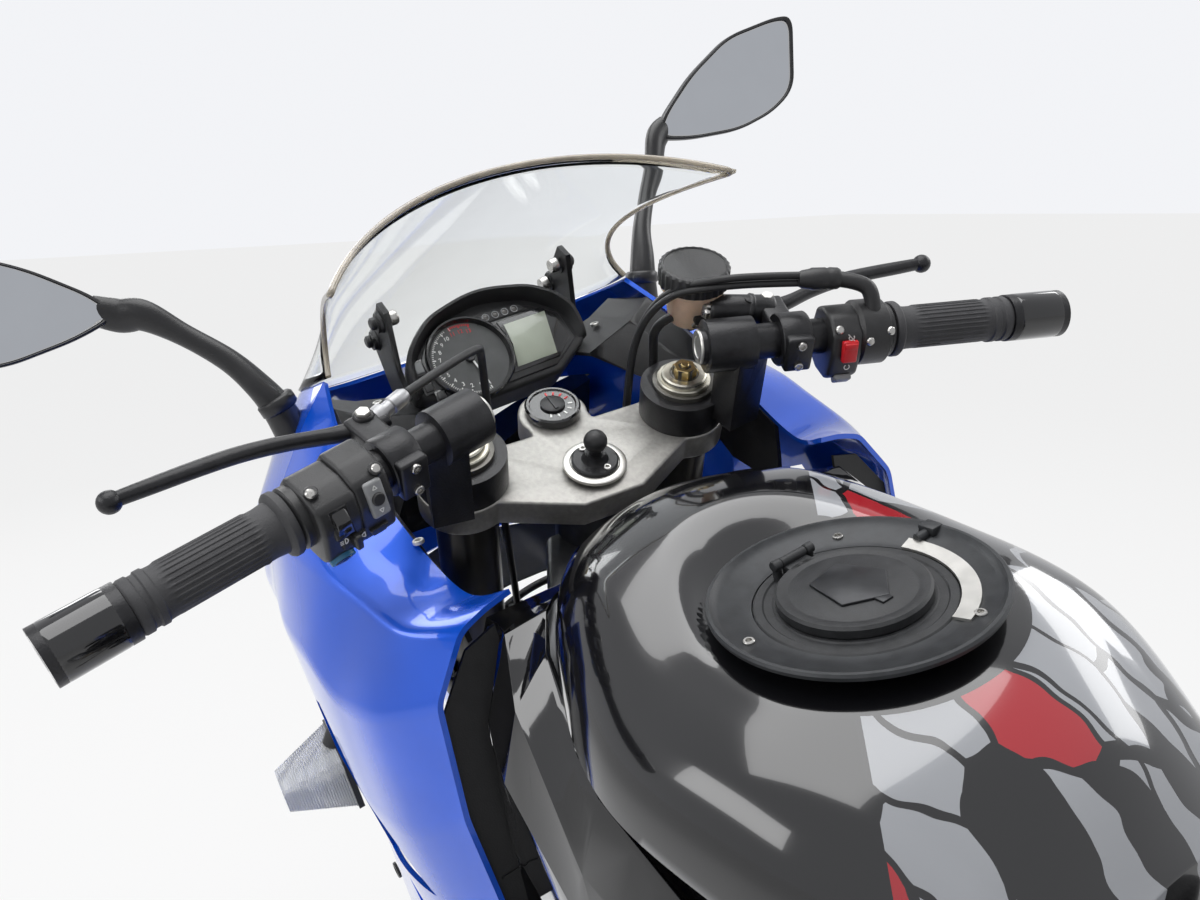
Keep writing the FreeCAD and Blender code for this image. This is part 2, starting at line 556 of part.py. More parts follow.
def build_engine(frame):
    """Crankcase, forward-leaning cylinders and head, round side covers, front sprocket boss."""
    case = spar([(600, 0, 400, 120, 80, 20), (700, 0, 372, 150, 118, 24), (900, 0, 362, 150, 112, 24),
                 (965, 0, 362, 140, 84, 24)])
    sump = spar([(690, 0, 236, 80, 46, 12), (900, 0, 236, 90, 46, 12)])
    def tilted(low, high, half_x, half_y):
        base = HEAD_FOOT + HEAD_LEAN * low
        return prism([base + HEAD_ACROSS * a + Y * b for a, b in
                      ((-half_x, -half_y), (half_x, -half_y), (half_x, half_y), (-half_x, half_y))],
                     HEAD_LEAN * (high - low))

    pieces = [case, sump, tilted(0, 150, 82, 134), tilted(150, 215, HEAD_HALF, 140), tilted(215, 250, 66, 138)]
    fins = [tilted(34 + 22 * k, 40 + 22 * k, 88, 140) for k in range(5)]
    # x, z, inner y, outer y and radius of each round cover
    covers = [cyl(Vector(x, inner, z), Vector(x, outer, z), radius) for x, z, inner, outer, radius in (
        (800, 352, 140, 190, 70), (800, 352, 188, 200, 52), (720, 360, -140, -206, 88),
        (720, 360, -204, -214, 62), (888, 350, -138, -166, 56))]
    filter_can = cyl(Vector(940, 0, 318), Vector(1012, 0, 302), 30)
    sprocket_y = CHAIN_Y - CHAIN_WIDE / 2 - 4
    room = cyl(Vector(SPROCKET_FRONT.x, sprocket_y, SPROCKET_FRONT.z), SPROCKET_FRONT + Y * 100,
               SPROCKET_FRONT_R + CHAIN_TALL)
    room = room.fuse(block(Vector(500, sprocket_y, SPROCKET_FRONT.z - 76),
                           Vector(SPROCKET_FRONT.x, 260, SPROCKET_FRONT.z + 58)))
    sprocket = fuse([cyl(SPROCKET_FRONT - Y * 20, SPROCKET_FRONT + Y * 6, 16),
                     cyl(SPROCKET_FRONT - Y * 3, SPROCKET_FRONT + Y * 3,
                         SPROCKET_FRONT_R - CHAIN_TALL / 2 - SEAT_GAP)])
    engine = fuse([fuse(pieces + fins + covers).cut(room), filter_can, sprocket])
    return node("engine", "root", seat(engine, frame))


def chain_band(room=0.0):
    """The drive chain as one closed band round both sprockets, or the space it runs in."""
    def racetrack(grow):
        r1, r2 = SPROCKET_FRONT_R + grow, SPROCKET_REAR_R + grow
        a, b = Vector(SPROCKET_FRONT.x, 0, SPROCKET_FRONT.z), Vector(REAR_AXLE.x, 0, REAR_AXLE.z)
        line = a - b
        turn = math.acos((r2 - r1) / line.Length)
        base = math.atan2(line.z, line.x)
        up, down = base + turn, base - turn

        def at(centre, radius, angle):
            return centre + Vector(math.cos(angle), 0, math.sin(angle)) * radius

        edges = [Part.LineSegment(at(b, r2, up), at(a, r1, up)).toShape(),
                 Part.Arc(at(a, r1, up), at(a, r1, base), at(a, r1, down)).toShape(),
                 Part.LineSegment(at(a, r1, down), at(b, r2, down)).toShape(),
                 Part.Arc(at(b, r2, down), at(b, r2, base + math.pi), at(b, r2, up)).toShape()]
        return Part.Face(Part.Wire(edges)).extrude(Y * (CHAIN_WIDE + 2 * room))

    band = racetrack(CHAIN_TALL / 2 + room).cut(racetrack(-CHAIN_TALL / 2 - room))
    return band.translated(Y * (CHAIN_Y - CHAIN_WIDE / 2 - room))


def build_swingarm(frame):
    arm = spar([(PIVOT.x + 34, ARM_Y - 19, PIVOT.z, 15, 34, 8), (480, ARM_Y - 16, 396, 17, 40, 10),
                (360, ARM_Y, 372, ARM_HALF, 38, 10), (120, ARM_Y, 330, ARM_HALF, 32, 10),
                (-52, ARM_Y, REAR_AXLE.z, ARM_HALF, 25, 10)])
    both = [arm, mirrored(arm)]
    bridge = spar([(500, 0, 398, 118, 32, 10), (372, 0, 382, 128, 26, 10)])
    tube = cyl(PIVOT - Y * 128, PIVOT + Y * 128, 30)
    shape = fuse(both + [bridge, tube])
    shape = shape.cut(cyl(REAR_AXLE - Y * 200, REAR_AXLE + Y * 200, REAR_AXLE_R))
    return node("swingarm", "root", seat(shape, frame, chain_band(CHAIN_ROOM)))


def tank_section(x, crown, crown_z, top_z, wide, wide_z, foot, foot_z):
    """One upright section of the tank: crown arc, two shoulder arcs, flat sides and bottom."""
    def at(y, z):
        return Vector(x, y, z)

    bulge = 0.16 * math.hypot(wide - crown, crown_z - wide_z)
    knee = ((crown + wide) / 2 + bulge * 0.8, (crown_z + wide_z) / 2 + bulge * 0.8)
    return Part.Wire([
        Part.Arc(at(-crown, crown_z), at(0, top_z), at(crown, crown_z)).toShape(),
        Part.Arc(at(crown, crown_z), at(*knee), at(wide, wide_z)).toShape(),
        Part.LineSegment(at(wide, wide_z), at(foot, foot_z)).toShape(),
        Part.LineSegment(at(foot, foot_z), at(-foot, foot_z)).toShape(),
        Part.LineSegment(at(-foot, foot_z), at(-wide, wide_z)).toShape(),
        Part.Arc(at(-wide, wide_z), at(-knee[0], knee[1]), at(-crown, crown_z)).toShape()])


# x, crown half width, its z, top z, widest half width, its z, foot half width, its z
TANK_ROWS = [
    (1066, 34, 906, 913, 50, 892, 44, 874),
    (1036, 62, 926, 937, 92, 894, 84, 854),
    (975, 90, 934, 946, 134, 868, 112, 822),
    (880, 104, 914, 930, 164, 856, 132, 778),
    (780, 94, 906, 922, 154, 842, 124, 730),
    (705, 74, 868, 890, 122, 806, 96, 712),
    (662, 58, 826, 842, 94, 782, 84, 722)]


def build_tank(frame):
    """Fuel tank with its filler land and neck, the filler collar and clamp ring, and the lid."""
    tank = loft([tank_section(*row) for row in TANK_ROWS], False)
    middle = Vector(CAP_X, 0, RING_Z)
    tank = tank.cut(Part.makeCylinder(RING_R + 3, 60, middle))
    land = Part.makeCylinder(COLLAR_R, 24, middle - Z * 24)
    neck = Part.makeCylinder(NECK_R, NECK_DEEP + 30, middle - Z * NECK_DEEP)
    tank = seat(fuse([tank, land]).cut(neck), frame)
    node("fuel_tank", "root", tank)
    collar = turned([(NECK_R, 0), (COLLAR_R, 0), (COLLAR_R, 5), (NECK_R, 5)], middle, Z)
    hinge = middle + Vector(HINGE_X, 0, HINGE_UP)
    knuckles = [cyl(hinge + Y * side * 10, hinge + Y * side * 16, 3.0) for side in (-1, 1)]
    posts = [block(middle + Vector(HINGE_X - 3, 13 * side - 3, 4), middle + Vector(HINGE_X + 3, 13 * side + 3, HINGE_UP))
             for side in (-1, 1)]
    ring = turned([(COLLAR_R + 0.4, 0), (RING_R - 12, 0), (RING_R, RING_TALL - 4), (RING_R, RING_TALL),
                   (RING_R - 4, RING_TALL), (RING_R - 7, RING_TALL - 4), (COLLAR_R + 6, 5), (COLLAR_R + 0.4, 5)],
                  middle, Z)
    ring_legs = [Part.makeCylinder(4, 7, middle + Vector(64 * math.cos(a), 64 * math.sin(a), 4))
                 for a in (math.radians(k) for k in (-35, 85, 205))]
    node("filler_collar", "root", fuse([collar] + knuckles + posts))
    node("tank_ring", "root", fuse([ring] + ring_legs))
    base = middle + Z * (5 + SEAT_GAP)
    lid = fuse([Part.makeCylinder(LID_R, LID_THICK, base),
                Part.makeCylinder(NECK_R - 3, 6, base - Z * 6),
                block(base + Vector(LID_R - 6, -9.5, 2), base + Vector(HINGE_X, 9.5, LID_THICK)),
                cyl(hinge - Y * 9.7, hinge + Y * 9.7, 3.0)])
    flap = prism([base + Vector(22 * math.cos(math.radians(a)), 20 * math.sin(math.radians(a)), LID_THICK)
                  for a in (-50, 20, 95, 165, 235)], Z * 2)
    node("fuel_lid", "fuel_lid", fuse([lid, flap]))
    return tank


# one row per upright station: x, then the (outward, up) corners of the outside from its top edge down
FAIRING_ROWS = [
    (1006, (138, 934), (158, 930), (178, 922), (206, 880), (212, 790), (205, 690)),
    (1050, (151, 920), (176, 921), (202, 920), (238, 868), (240, 770), (230, 668)),
    (1100, (158, 938), (186, 934), (214, 930), (250, 862), (251, 765), (238, 650)),
    (1150, (163, 970), (194, 955), (224, 940), (254, 878), (254, 770), (238, 660)),
    (1210, (166, 1006), (192, 985), (230, 944), (254, 880), (250, 785), (234, 690)),
    (1264, (152, 1042), (180, 1012), (230, 948), (246, 882), (240, 800), (228, 716))]
LOWER_ROWS = [
    (882, (186, 500), (200, 420), (184, 320), (118, 196)),
    (940, (196, 590), (208, 470), (190, 330), (112, 172)),
    (1006, (205, 686), (222, 560), (205, 380), (108, 160)),
    (1100, (238, 646), (240, 540), (212, 380), (106, 178)),
    (1190, (235, 676), (238, 560), (226, 470), (205, 400)),
    (1250, (230, 702), (232, 650), (228, 600), (222, 560))]
# heading round the nose, then the (outward, up) corners, all from NOSE_X
NOSE_ROWS = [
    (90, (160, 1029), (184, 1004), (228, 946), (242, 880), (238, 800), (226, 722)),
    (60, (160, 1007), (205, 962), (238, 900), (246, 840), (232, 775), (212, 722)),
    (30, (160, 990), (232, 945), (282, 880), (292, 825), (268, 770), (232, 725)),
    (0, (160, 984), (250, 930), (318, 864), (330, 815), (300, 760), (262, 722))]
NOSE_X = 1312.0
PANEL_GAP = 0.3
LAMP_OUTLINE = ((26, 858), (44, 806), (118, 812), (176, 856), (190, 904), (110, 888))


def build_fairings():
    """Side fairings in an upper and a lower panel, and the nose cowl with its two lamps."""
    side = skin([(x, 0, 90, corners) for x, *corners in FAIRING_ROWS])
    vent = prism([Vector(1060, 150, 700), Vector(1150, 150, 690), Vector(1190, 150, 820), Vector(1168, 150, 828)],
                 Y * 150)
    side = side.cut(vent)
    lower = skin([(x, 0, 90, [(s, z - PANEL_GAP) for s, z in corners]) for x, *corners in LOWER_ROWS],
                 ruled=True)
    slot = prism([Vector(980, 100, 470), Vector(1120, 100, 470), Vector(1090, 100, 540), Vector(1000, 100, 540)],
                 Y * 200)
    lower = seat(lower.cut(slot), side)
    for name, turn in (("left", lambda shape: shape), ("right", mirrored)):
        node(f"fairing_{name}", "root", turn(side))
        node(f"lower_fairing_{name}", "root", turn(lower))
    rear = FAIRING_ROWS[-1]
    left = [(rear[0] + PANEL_GAP, 0, 90, rear[1:])]
    left += [(NOSE_X, 0, heading, corners) for heading, *corners in NOSE_ROWS]
    right = [(x, y, -heading, corners) for x, y, heading, corners in left[:-1]]
    cowl = skin(left + right[::-1])
    lenses = []
    for side in (1, -1):
        corners = [Vector(1380, side * y, z) for y, z in LAMP_OUTLINE]
        opening = prism(corners, X * 320)
        lenses.append(cowl.common(opening))
        cowl = cowl.cut(opening)
    node("nose_cowl", "root", cowl)
    node("headlamps", "root", group(lenses))
    return cowl


def build_screen():
    """A clear curved sheet through three arcs: its base on the cowl, its waist and its top edge."""
    # left point and middle point of each arc
    rows = ((Vector(1259, 148, 1045.5), Vector(1470, 0, 987)),
            (Vector(1242, 141, 1096), Vector(1340, 0, 1090)),
            (Vector(1095, 168, 1132), Vector(1176, 0, 1174)))
    arcs = [Part.Wire([Part.Arc(side, middle, Vector(side.x, -side.y, side.z)).toShape()])
            for side, middle in rows]
    sheet = Part.makeLoft(arcs, False, False)
    return node("windscreen", "root", sheet.makeOffsetShape(SCREEN_THICK, 1e-3, False, False, 0, 0, True))



def build_side_covers(tank, frame):
    """Gloss black covers between the tank and the side fairings."""
    rows = [(805, (152, 800), (172, 770), (186, 720), (187, 650)),
            (900, (158, 842), (180, 800), (188, 760), (189, 690)),
            (972, (138, 900), (168, 872), (188, 828), (189, 740)),
            (1004, (118, 908), (150, 906), (178, 846), (187, 750)),
            (1034, (98, 898), (142, 898), (164, 862), (176, 780)),
            (1056, (70, 892), (142, 894), (160, 860), (172, 790))]
    cover = skin([(x, 0, 90, corners) for x, *corners in rows], ruled=True)
    node("tank_side_covers", "root", seat(pair(cover), tank, frame))


def build_exhaust():
    """Four pipes from the head's front face to a box under the engine, and a tapered silencer each side."""
    port = HEAD_FOOT + HEAD_LEAN * PORT_UP + HEAD_ACROSS * HEAD_HALF
    pipes = []
    for y in (58, 112):
        run = [port + Y * y, port + Y * y + HEAD_ACROSS * 62, Vector(1034, y, 470), Vector(1034, y, 330),
               Vector(1000, y * 0.9, 226), Vector(930, y * 0.72, 170), Vector(850, y * 0.6, 164)]
        pipes.append(pipe(run, 18))
    links = pipe([Vector(690, 46, 164), Vector(600, 56, 166), Vector(520, 92, 186), Vector(450, 136, 226),
                  Vector(375, 178, 274), Vector(300, 204, 308)], 22)
    box = spar([(905, 0, 164, 96, 24, 12), (660, 0, 164, 78, 24, 12)])
    shape = fuse([box, pipes[0], pipes[1], mirrored(pipes[0]), mirrored(pipes[1]), links, mirrored(links)])
    shape = node("exhaust_headers", "root", shape)
    can = spar([(300, 206, 310, 28, 28, 20), (240, 212, 326, 42, 50, 26), (100, 214, 372, 48, 62, 30),
                (-60, 216, 424, 45, 58, 28), (-92, 216, 434, 34, 46, 24)])
    outlet = cyl(Vector(-40, 216, 424), Vector(-130, 216, 440), 22)
    node("silencers", "root", seat(pair(can.cut(outlet)), shape))
    return shape


def build_radiator(frame):
    """Water radiator with side tanks, hung from the frame ahead of the exhaust pipes."""
    core = prism([Vector(1064, -150, 456), Vector(1092, -150, 452), Vector(1126, -150, 690),
                  Vector(1098, -150, 694)], Y * 300)
    tank = prism([Vector(1058, 150, 450), Vector(1096, 150, 446), Vector(1132, 150, 696),
                  Vector(1094, 150, 700)], Y * 22)
    lug = cyl(Vector(1108, 62, 690), Vector(1100, 66, 790), 9)
    shape = fuse([core, tank, mirrored(tank), lug, mirrored(lug)])
    node("radiator", "root", seat(shape, frame))


def build_subframe(frame):
    """Seat rails of round tube with three cross tubes."""
    top = pipe([Vector(700, 150, 600), Vector(600, 130, 690), Vector(430, 108, 744), Vector(200, 90, 790),
                Vector(-150, 62, 850)], 13)
    low = pipe([Vector(570, 146, 500), Vector(470, 122, 610), Vector(330, 102, 716), Vector(210, 91, 784)], 11)
    cross = [cyl(Vector(x, -y, z), Vector(x, y, z), 9) for x, y, z in
             ((560, 122, 702), (300, 98, 770), (-60, 70, 834))]
    shape = fuse([top, low, mirrored(top), mirrored(low)] + cross)
    return node("subframe", "root", seat(shape, frame))


def build_suspension(frame, swingarm, subframe):
    lower, upper = Vector(462, 0, 418), Vector(622, 0, 588)
    line = (upper - lower).normalize()
    shock = fuse([cyl(lower, upper, 13), cyl(lower + line * 34, upper - line * 34, 29),
                  cyl(lower + line * 26, lower + line * 34, 33), cyl(upper - line * 34, upper - line * 26, 33)])
    node("shock", "root", seat(shock, frame, swingarm))
    centre = Vector(86, REAR_DISC_Y - 4, REAR_AXLE.z + 88)
    body = block(centre - Vector(42, 24, 24), centre + Vector(42, 24, 24))
    bracket = block(Vector(58, -128, 352), Vector(114, -102, 408))
    slot = PAD_GAP + DISC_THICK / 2
    body = body.cut(cyl(Vector(0, REAR_DISC_Y - slot, REAR_AXLE.z), Vector(0, REAR_DISC_Y + slot, REAR_AXLE.z),
                        REAR_DISC_R + PAD_GAP))
    node("rear_caliper", "root", seat(fuse([body, bracket]), swingarm))


def build_seats(tank, subframe, covers):
    rider = spar([(655, 0, 790, 70, 38, 18), (560, 0, 778, 100, 42, 22), (430, 0, 776, 136, 44, 26),
                  (345, 0, 790, 146, 46, 28), (306, 0, 812, 132, 44, 26)], False)
    rider = node("rider_seat", "root", seat(rider, tank, subframe, covers))
    pillion = spar([(305, 0, 858, 92, 34, 20), (180, 0, 868, 112, 38, 24), (40, 0, 878, 104, 36, 22),
                    (-40, 0, 884, 84, 30, 18)], False)
    node("pillion_seat", "root", seat(pillion, rider, subframe))
    return rider


def build_tail(subframe, pillion):
    """Tail cowl of two side skins closed by a tail block, lamp, and plate arm with a blank plate."""
    rows = [(420, (137, 756), (139, 728), (120, 690)),
            (300, (136, 850), (148, 800), (126, 730)),
            (150, (118, 872), (142, 832), (122, 762)),
            (0, (104, 882), (120, 850), (98, 796)),
            (-150, (72, 900), (86, 872), (64, 832)),
            (-262, (44, 906), (54, 888), (40, 862))]
    side = skin([(x, 0, 90, corners) for x, *corners in rows], ruled=True)
    block_in = spar([(-60, 0, 868, 80, 22, 8), (-150, 0, 872, 76, 24, 8), (-262, 0, 886, 46, 18, 8)])
    cowl = fuse([side, mirrored(side), block_in])
    rear = NODES["rider_seat"][1]
    node("tail_cowl", "root", seat(cowl, subframe, pillion, rear))
    lamp = spar([(-262, 0, 886, 44, 16, 6), (-296, 0, 888, 30, 11, 5)])
    node("tail_lamp", "root", lamp)
    arm = prism([Vector(-100, -30, 846), Vector(-190, -30, 850), Vector(-262, -30, 866), Vector(-330, -30, 660),
                 Vector(-352, -30, 560), Vector(-340, -30, 556), Vector(-300, -30, 650), Vector(-190, -30, 800)],
                Y * 60)
    plate = prism([Vector(-328, -100, 668), Vector(-332, -100, 669), Vector(-366, -100, 520),
                   Vector(-362, -100, 519)], Y * 200)
    cowl = NODES["tail_cowl"][1]
    node("plate_holder", "root", seat(fuse([arm, plate]), cowl, lamp, subframe))


def build_signals(cowl):
    """Four turn signals on short stalks: wedge lenses at the front, small ones on the plate arm."""
    front = loft([Part.makePolygon([Vector(x, y, z) for x, y, z in ring + ring[:1]]) for ring in (
        [(1360, 236, 700), (1290, 240, 690), (1286, 240, 636), (1350, 236, 650)],
        [(1336, 296, 690), (1300, 298, 684), (1298, 298, 660), (1330, 296, 666)])])
    stem = cyl(Vector(1326, 206, 738), Vector(1322, 244, 684), 11)
    rear = fuse([cyl(Vector(-272, 24, 742), Vector(-276, 62, 742), 6),
                 spar([(-300, 84, 742, 24, 15, 8), (-262, 82, 742, 30, 18, 10)])])
    node("signals", "root", seat(group([pair(fuse([front, stem])), pair(rear)]), cowl, NODES["plate_holder"][1]))


def build_cockpit(cowl, screen):
    """Instrument housing with its arched visor, screen brackets, and the inner cowls beside the fork."""
    face = Vector(1252, 0, 1019)
    up = Vector(0.58, 0, 0.81).normalize()
    out = Y.cross(up)
    if out.x > 0:
        out = out * -1

    def ring(grow, lift):
        outline = ((-84, -16), (-46, -38), (46, -38), (84, -16), (80, 18), (52, 42), (0, 54), (-52, 42), (-80, 18))
        return [face + Y * a * grow + up * b * grow + out * lift for a, b in outline]

    body = prism(ring(1.0, -38), out * 38)
    visor = prism(ring(1.0, 0), out * 14).cut(prism(ring(0.94, -1), out * 20))
    trim = block(Vector(1150, -200, 900), Vector(1400, 200, 1012))
    node("dash", "root", seat(fuse([body, visor.cut(trim)]), screen))
    dash = NODES["dash"][1]
    rows = [(1080, (153, 868), (156, 892), (158, 924)),
            (1130, (146, 888), (153, 926), (162, 950)),
            (1190, (152, 930), (158, 962), (164, 990)),
            (1240, (84, 988), (134, 1004), (158, 1020)),
            (1300, (66, 990), (124, 1004), (150, 1016))]
    inner = skin([(x, 0, 90, corners[::-1]) for x, *corners in rows], ruled=True)
    bracket = prism([Vector(1305, 86, 1052), Vector(1262, 86, 1090), Vector(1250, 86, 1082), Vector(1262, 86, 1030),
                     Vector(1256, 86, 1004), Vector(1290, 86, 1000)], Y * 5)
    bosses = [cyl(Vector(x, 84, z), Vector(x, 96, z), 7) for x, z in ((1266, 1072), (1292, 1054))]
    piece = fuse([inner, bracket] + bosses)
    node("inner_cowls", "root", seat(pair(piece), screen, cowl, dash, NODES["fairing_left"][1],
                                     NODES["fairing_right"][1]))


# (outward, up) corners of the right mirror's face; the left one is set lower by MIRROR_DROP
MIRROR_OUTLINE = ((271, 1150), (283, 1170), (321, 1204), (369, 1233), (424, 1241), (442, 1238), (428, 1167),
                  (401, 1149), (360, 1139), (306, 1142))
MIRROR_AWAY = Vector(0.95, 0.28, -0.1).normalize()
MIRROR_DROP = 22.0
MIRROR_JOINT = Vector(1344, 271, 1131)


def build_mirrors(cowl):
    """Stalks from the cowl and angular housings, each with a flat glass let into its face."""
    corner = Vector(1346, 271, 1150)

    def head(drop):
        """One mirror on the left side: its housing with the stalk, and its glass."""
        face = []
        for y, z in MIRROR_OUTLINE:
            flat = Vector(corner.x, y, z)
            face.append(flat - X * ((flat - corner).dot(MIRROR_AWAY) / MIRROR_AWAY.x) - Z * drop)
        middle = sum(face, Vector()) * (1 / len(face))

        def ring(lift, grow):
            points = [middle + (p - middle) * grow + MIRROR_AWAY * lift for p in face]
            return Part.makePolygon(points + points[:1])

        shell = loft([ring(0, 1.0), ring(12, 1.0), ring(32, 0.62)])
        glass = Part.Face(ring(0, 0.93)).extrude(MIRROR_AWAY * 3)
        stalk = pipe([Vector(1292, 186, 990), Vector(1294, 190, 1030), Vector(1308, 204, 1064),
                      Vector(1330, 240, 1105), MIRROR_JOINT, Vector(1348, 300, 1160 - drop)], 8)
        foot = cone(Vector(1292, 182, 990), Vector(1293, 190, 1034), 22, 12)
        return fuse([shell, stalk, foot]).cut(glass), glass

    (left, left_glass), (right, right_glass) = head(MIRROR_DROP), head(0.0)
    node("mirrors", "root", seat(group([left, mirrored(right)]), cowl))
    node("mirror_glass", "root", group([left_glass, mirrored(right_glass)]))


def build_footrests(frame, swingarm, subframe):
    """Rider's hangers with peg, gear lever and brake pedal, and the pillion's hangers and pegs."""
    plate = prism([Vector(606, 160, 350), Vector(560, 160, 478), Vector(500, 160, 486), Vector(430, 160, 392),
                   Vector(424, 160, 330), Vector(470, 160, 318), Vector(540, 160, 388)], Y * 9)
    peg = cyl(Vector(450, 168, 350), Vector(450, 252, 350), 12)
    pedal = pipe([Vector(470, 180, 338), Vector(540, 186, 312), Vector(608, 192, 318)], 6)
    toe = cyl(Vector(608, 186, 318), Vector(608, 232, 318), 8)
    boss = cyl(Vector(470, 168, 338), Vector(470, 187, 338), 12)
    rider = pair(fuse([plate, peg, pedal, toe, boss]))
    hanger = prism([Vector(350, 112, 700), Vector(296, 112, 760), Vector(262, 112, 752), Vector(196, 112, 566),
                    Vector(206, 112, 520), Vector(236, 112, 520), Vector(262, 112, 606)], Y * 14)
    back_peg = cyl(Vector(218, 124, 536), Vector(218, 212, 536), 11)
    strap = block(Vector(202, 120, 396), Vector(232, 132, 540)).fuse(
        block(Vector(202, 130, 404), Vector(232, 214, 410)))
    pillion = pair(fuse([hanger, back_peg, strap]))
    silencers = NODES["silencers"][1]
    node("footrests", "root", seat(rider, frame, swingarm))
    node("pillion_footrests", "root", seat(pillion, subframe, silencers, NODES["tail_cowl"][1]))


def build_hoses(fork):
    """Brake hose from the master cylinder down both fork legs, and the clutch cable, on the steering."""
    start = on_bar(CLAMP_START - 42, 46, 2)
    right = pipe([Vector(start.x, -start.y, start.z), Vector(74, -92, 1106), Vector(77, -98, 1050),
                  Vector(77, -98, 960), Vector(80, -90, 860), Vector(76, -96, 760), Vector(70, -104, 660),
                  Vector(62, -112, 560), Vector(40, -128, 480), Vector(4, -122, 430), Vector(-46, -88, 408)], 4)
    left = pipe([Vector(80, -70, 812), Vector(92, -30, 800), Vector(92, 30, 796), Vector(80, 84, 770),
                 Vector(70, 104, 660), Vector(62, 112, 560), Vector(40, 128, 480), Vector(4, 122, 430),
                 Vector(-46, 88, 408)], 4)
    splitter = block(Vector(72, -98, 800), Vector(92, -62, 822))
    entry = on_bar(CLAMP_START - 34, 50, 4)
    clutch = pipe([Vector(entry.x, entry.y, entry.z), Vector(84, 60, 1116), Vector(102, 52, 1090),
                   Vector(102, 50, 1040), Vector(92, 50, 975), Vector(82, 46, 890), Vector(70, 44, 800)], 3.5)
    hoses = steered(fuse([right, splitter, left]))
    cable = steered(clutch)
    others = [NODES[name][1] for name in ("brake_lever", "clutch_lever", "brake_reservoir", "front_calipers",
                                          "upper_yoke", "lower_yoke", "handlebars", "front_fender",
                                          "ignition_lock")]
    node("brake_hoses", "steering", seat(hoses, fork, *others))
    node("clutch_cable", "steering", seat(cable, fork, *others))


def stand_line(place):
    """Where the stand's foot stands in the leaned frame, and the axis that it folds back about."""
    top = place.multVec(STAND_PIVOT)
    foot = Vector(top.x + STAND_REACH.x, top.y + STAND_REACH.y, 0)
    reach = (place.inverse().multVec(foot) - STAND_PIVOT).normalize()
    return top, foot, reach.cross(STAND_FOLDED).normalize()


def stand_bracket(axis):
    """Two cheeks and a pin on the frame that the stand's knuckle turns between."""
    half = STAND_KNUCKLE_HALF
    room = cyl(STAND_PIVOT - axis * (half + SEAT_GAP), STAND_PIVOT + axis * (half + SEAT_GAP),
               STAND_KNUCKLE_R + 7)
    cheeks = fuse([cyl(STAND_PIVOT - axis * (half + 11), STAND_PIVOT + axis * (half + 11), 17),
                   block(Vector(574, 98, 228), Vector(622, 126, 330)),
                   block(Vector(588, 136, 246), Vector(612, 156, 336))]).cut(room)
    return fuse([cheeks, cyl(STAND_PIVOT - axis * (half + 6), STAND_PIVOT + axis * (half + 6), STAND_PIN_R)])


def build_stand(place):
    """Side stand: knuckle, leg and a foot that lies flat on the ground when the bike leans on it."""
    top, foot, axis = stand_line(place)
    pad = Part.makeCylinder(26, STAND_PAD, foot).fuse(
        cone(foot + Z * STAND_PAD, foot + Z * (STAND_PAD + 9), 20, 12))
    leg = cone(foot + Z * (STAND_PAD + 4), top, 9, STAND_KNUCKLE_HALF - 0.5)
    shape = fuse([pad, leg]).transformed(place.inverse().Matrix, True)
    half = axis * STAND_KNUCKLE_HALF
    knuckle = cyl(STAND_PIVOT - half, STAND_PIVOT + half, STAND_KNUCKLE_R)
    bore = cyl(STAND_PIVOT - half * 2, STAND_PIVOT + half * 2, STAND_PIN_R + FIT)
    node("side_stand", "side_stand", fuse([shape, knuckle]).cut(bore))


def settle(steer):
    """Lean the bike, then pitch and lift it until both tyres stand on the ground."""
    lean = Placement(Vector(), Rotation(X, -LEAN))
    wheels = ((FRONT_AXLE, FRONT_R, FRONT_CROWN, steer), (REAR_AXLE, REAR_R, REAR_CROWN, Placement()))
    pitch, tilt = 0.0, lean
    for _ in range(6):
        tilt = Placement(Vector(), Rotation(Y, math.degrees(pitch))) * lean
        low = []
        for centre, radius, crown, turn in wheels:
            pose = tilt * turn
            across = pose.Rotation.multVec(Y)
            reach = (radius - crown) * math.sqrt(1 - across.z ** 2) + crown
            low.append(pose.multVec(centre).z - reach)
        pitch += math.asin((low[0] - low[1]) / WHEELBASE)
    return Placement(Vector(0, 0, -low[1]), Rotation()) * tilt


def main():
    steer = Placement(Vector(), Rotation(AXIS_UP, BAR_TURN), AXIS_FOOT)
    place = settle(steer)
    build_front_wheel()
    build_rear_wheel()
    build_axles()
    fork = build_fork()
    build_yokes()
    build_bars()
    build_controls()
    build_front_brakes(fork)
    build_fender(fork)
    build_hoses(fork)
    stand_axis = stand_line(place)[2]
    frame = build_frame(stand_axis)
    build_engine(frame)
    swingarm = build_swingarm(frame)
    node("drive_chain", "root", chain_band())
    build_exhaust()
    build_radiator(frame)
    subframe = build_subframe(frame)
    build_suspension(frame, swingarm, subframe)
    tank = build_tank(frame)
    cowl = build_fairings()
    build_side_covers(tank, frame)
    build_seats(tank, subframe, NODES["tank_side_covers"][1])
    build_tail(subframe, NODES["pillion_seat"][1])
    build_signals(cowl)
    screen = build_screen()
    build_cockpit(cowl, screen)
    build_mirrors(cowl)
    build_footrests(frame, swingarm, subframe)
    build_stand(place)
    write(place, steer, stand_axis)


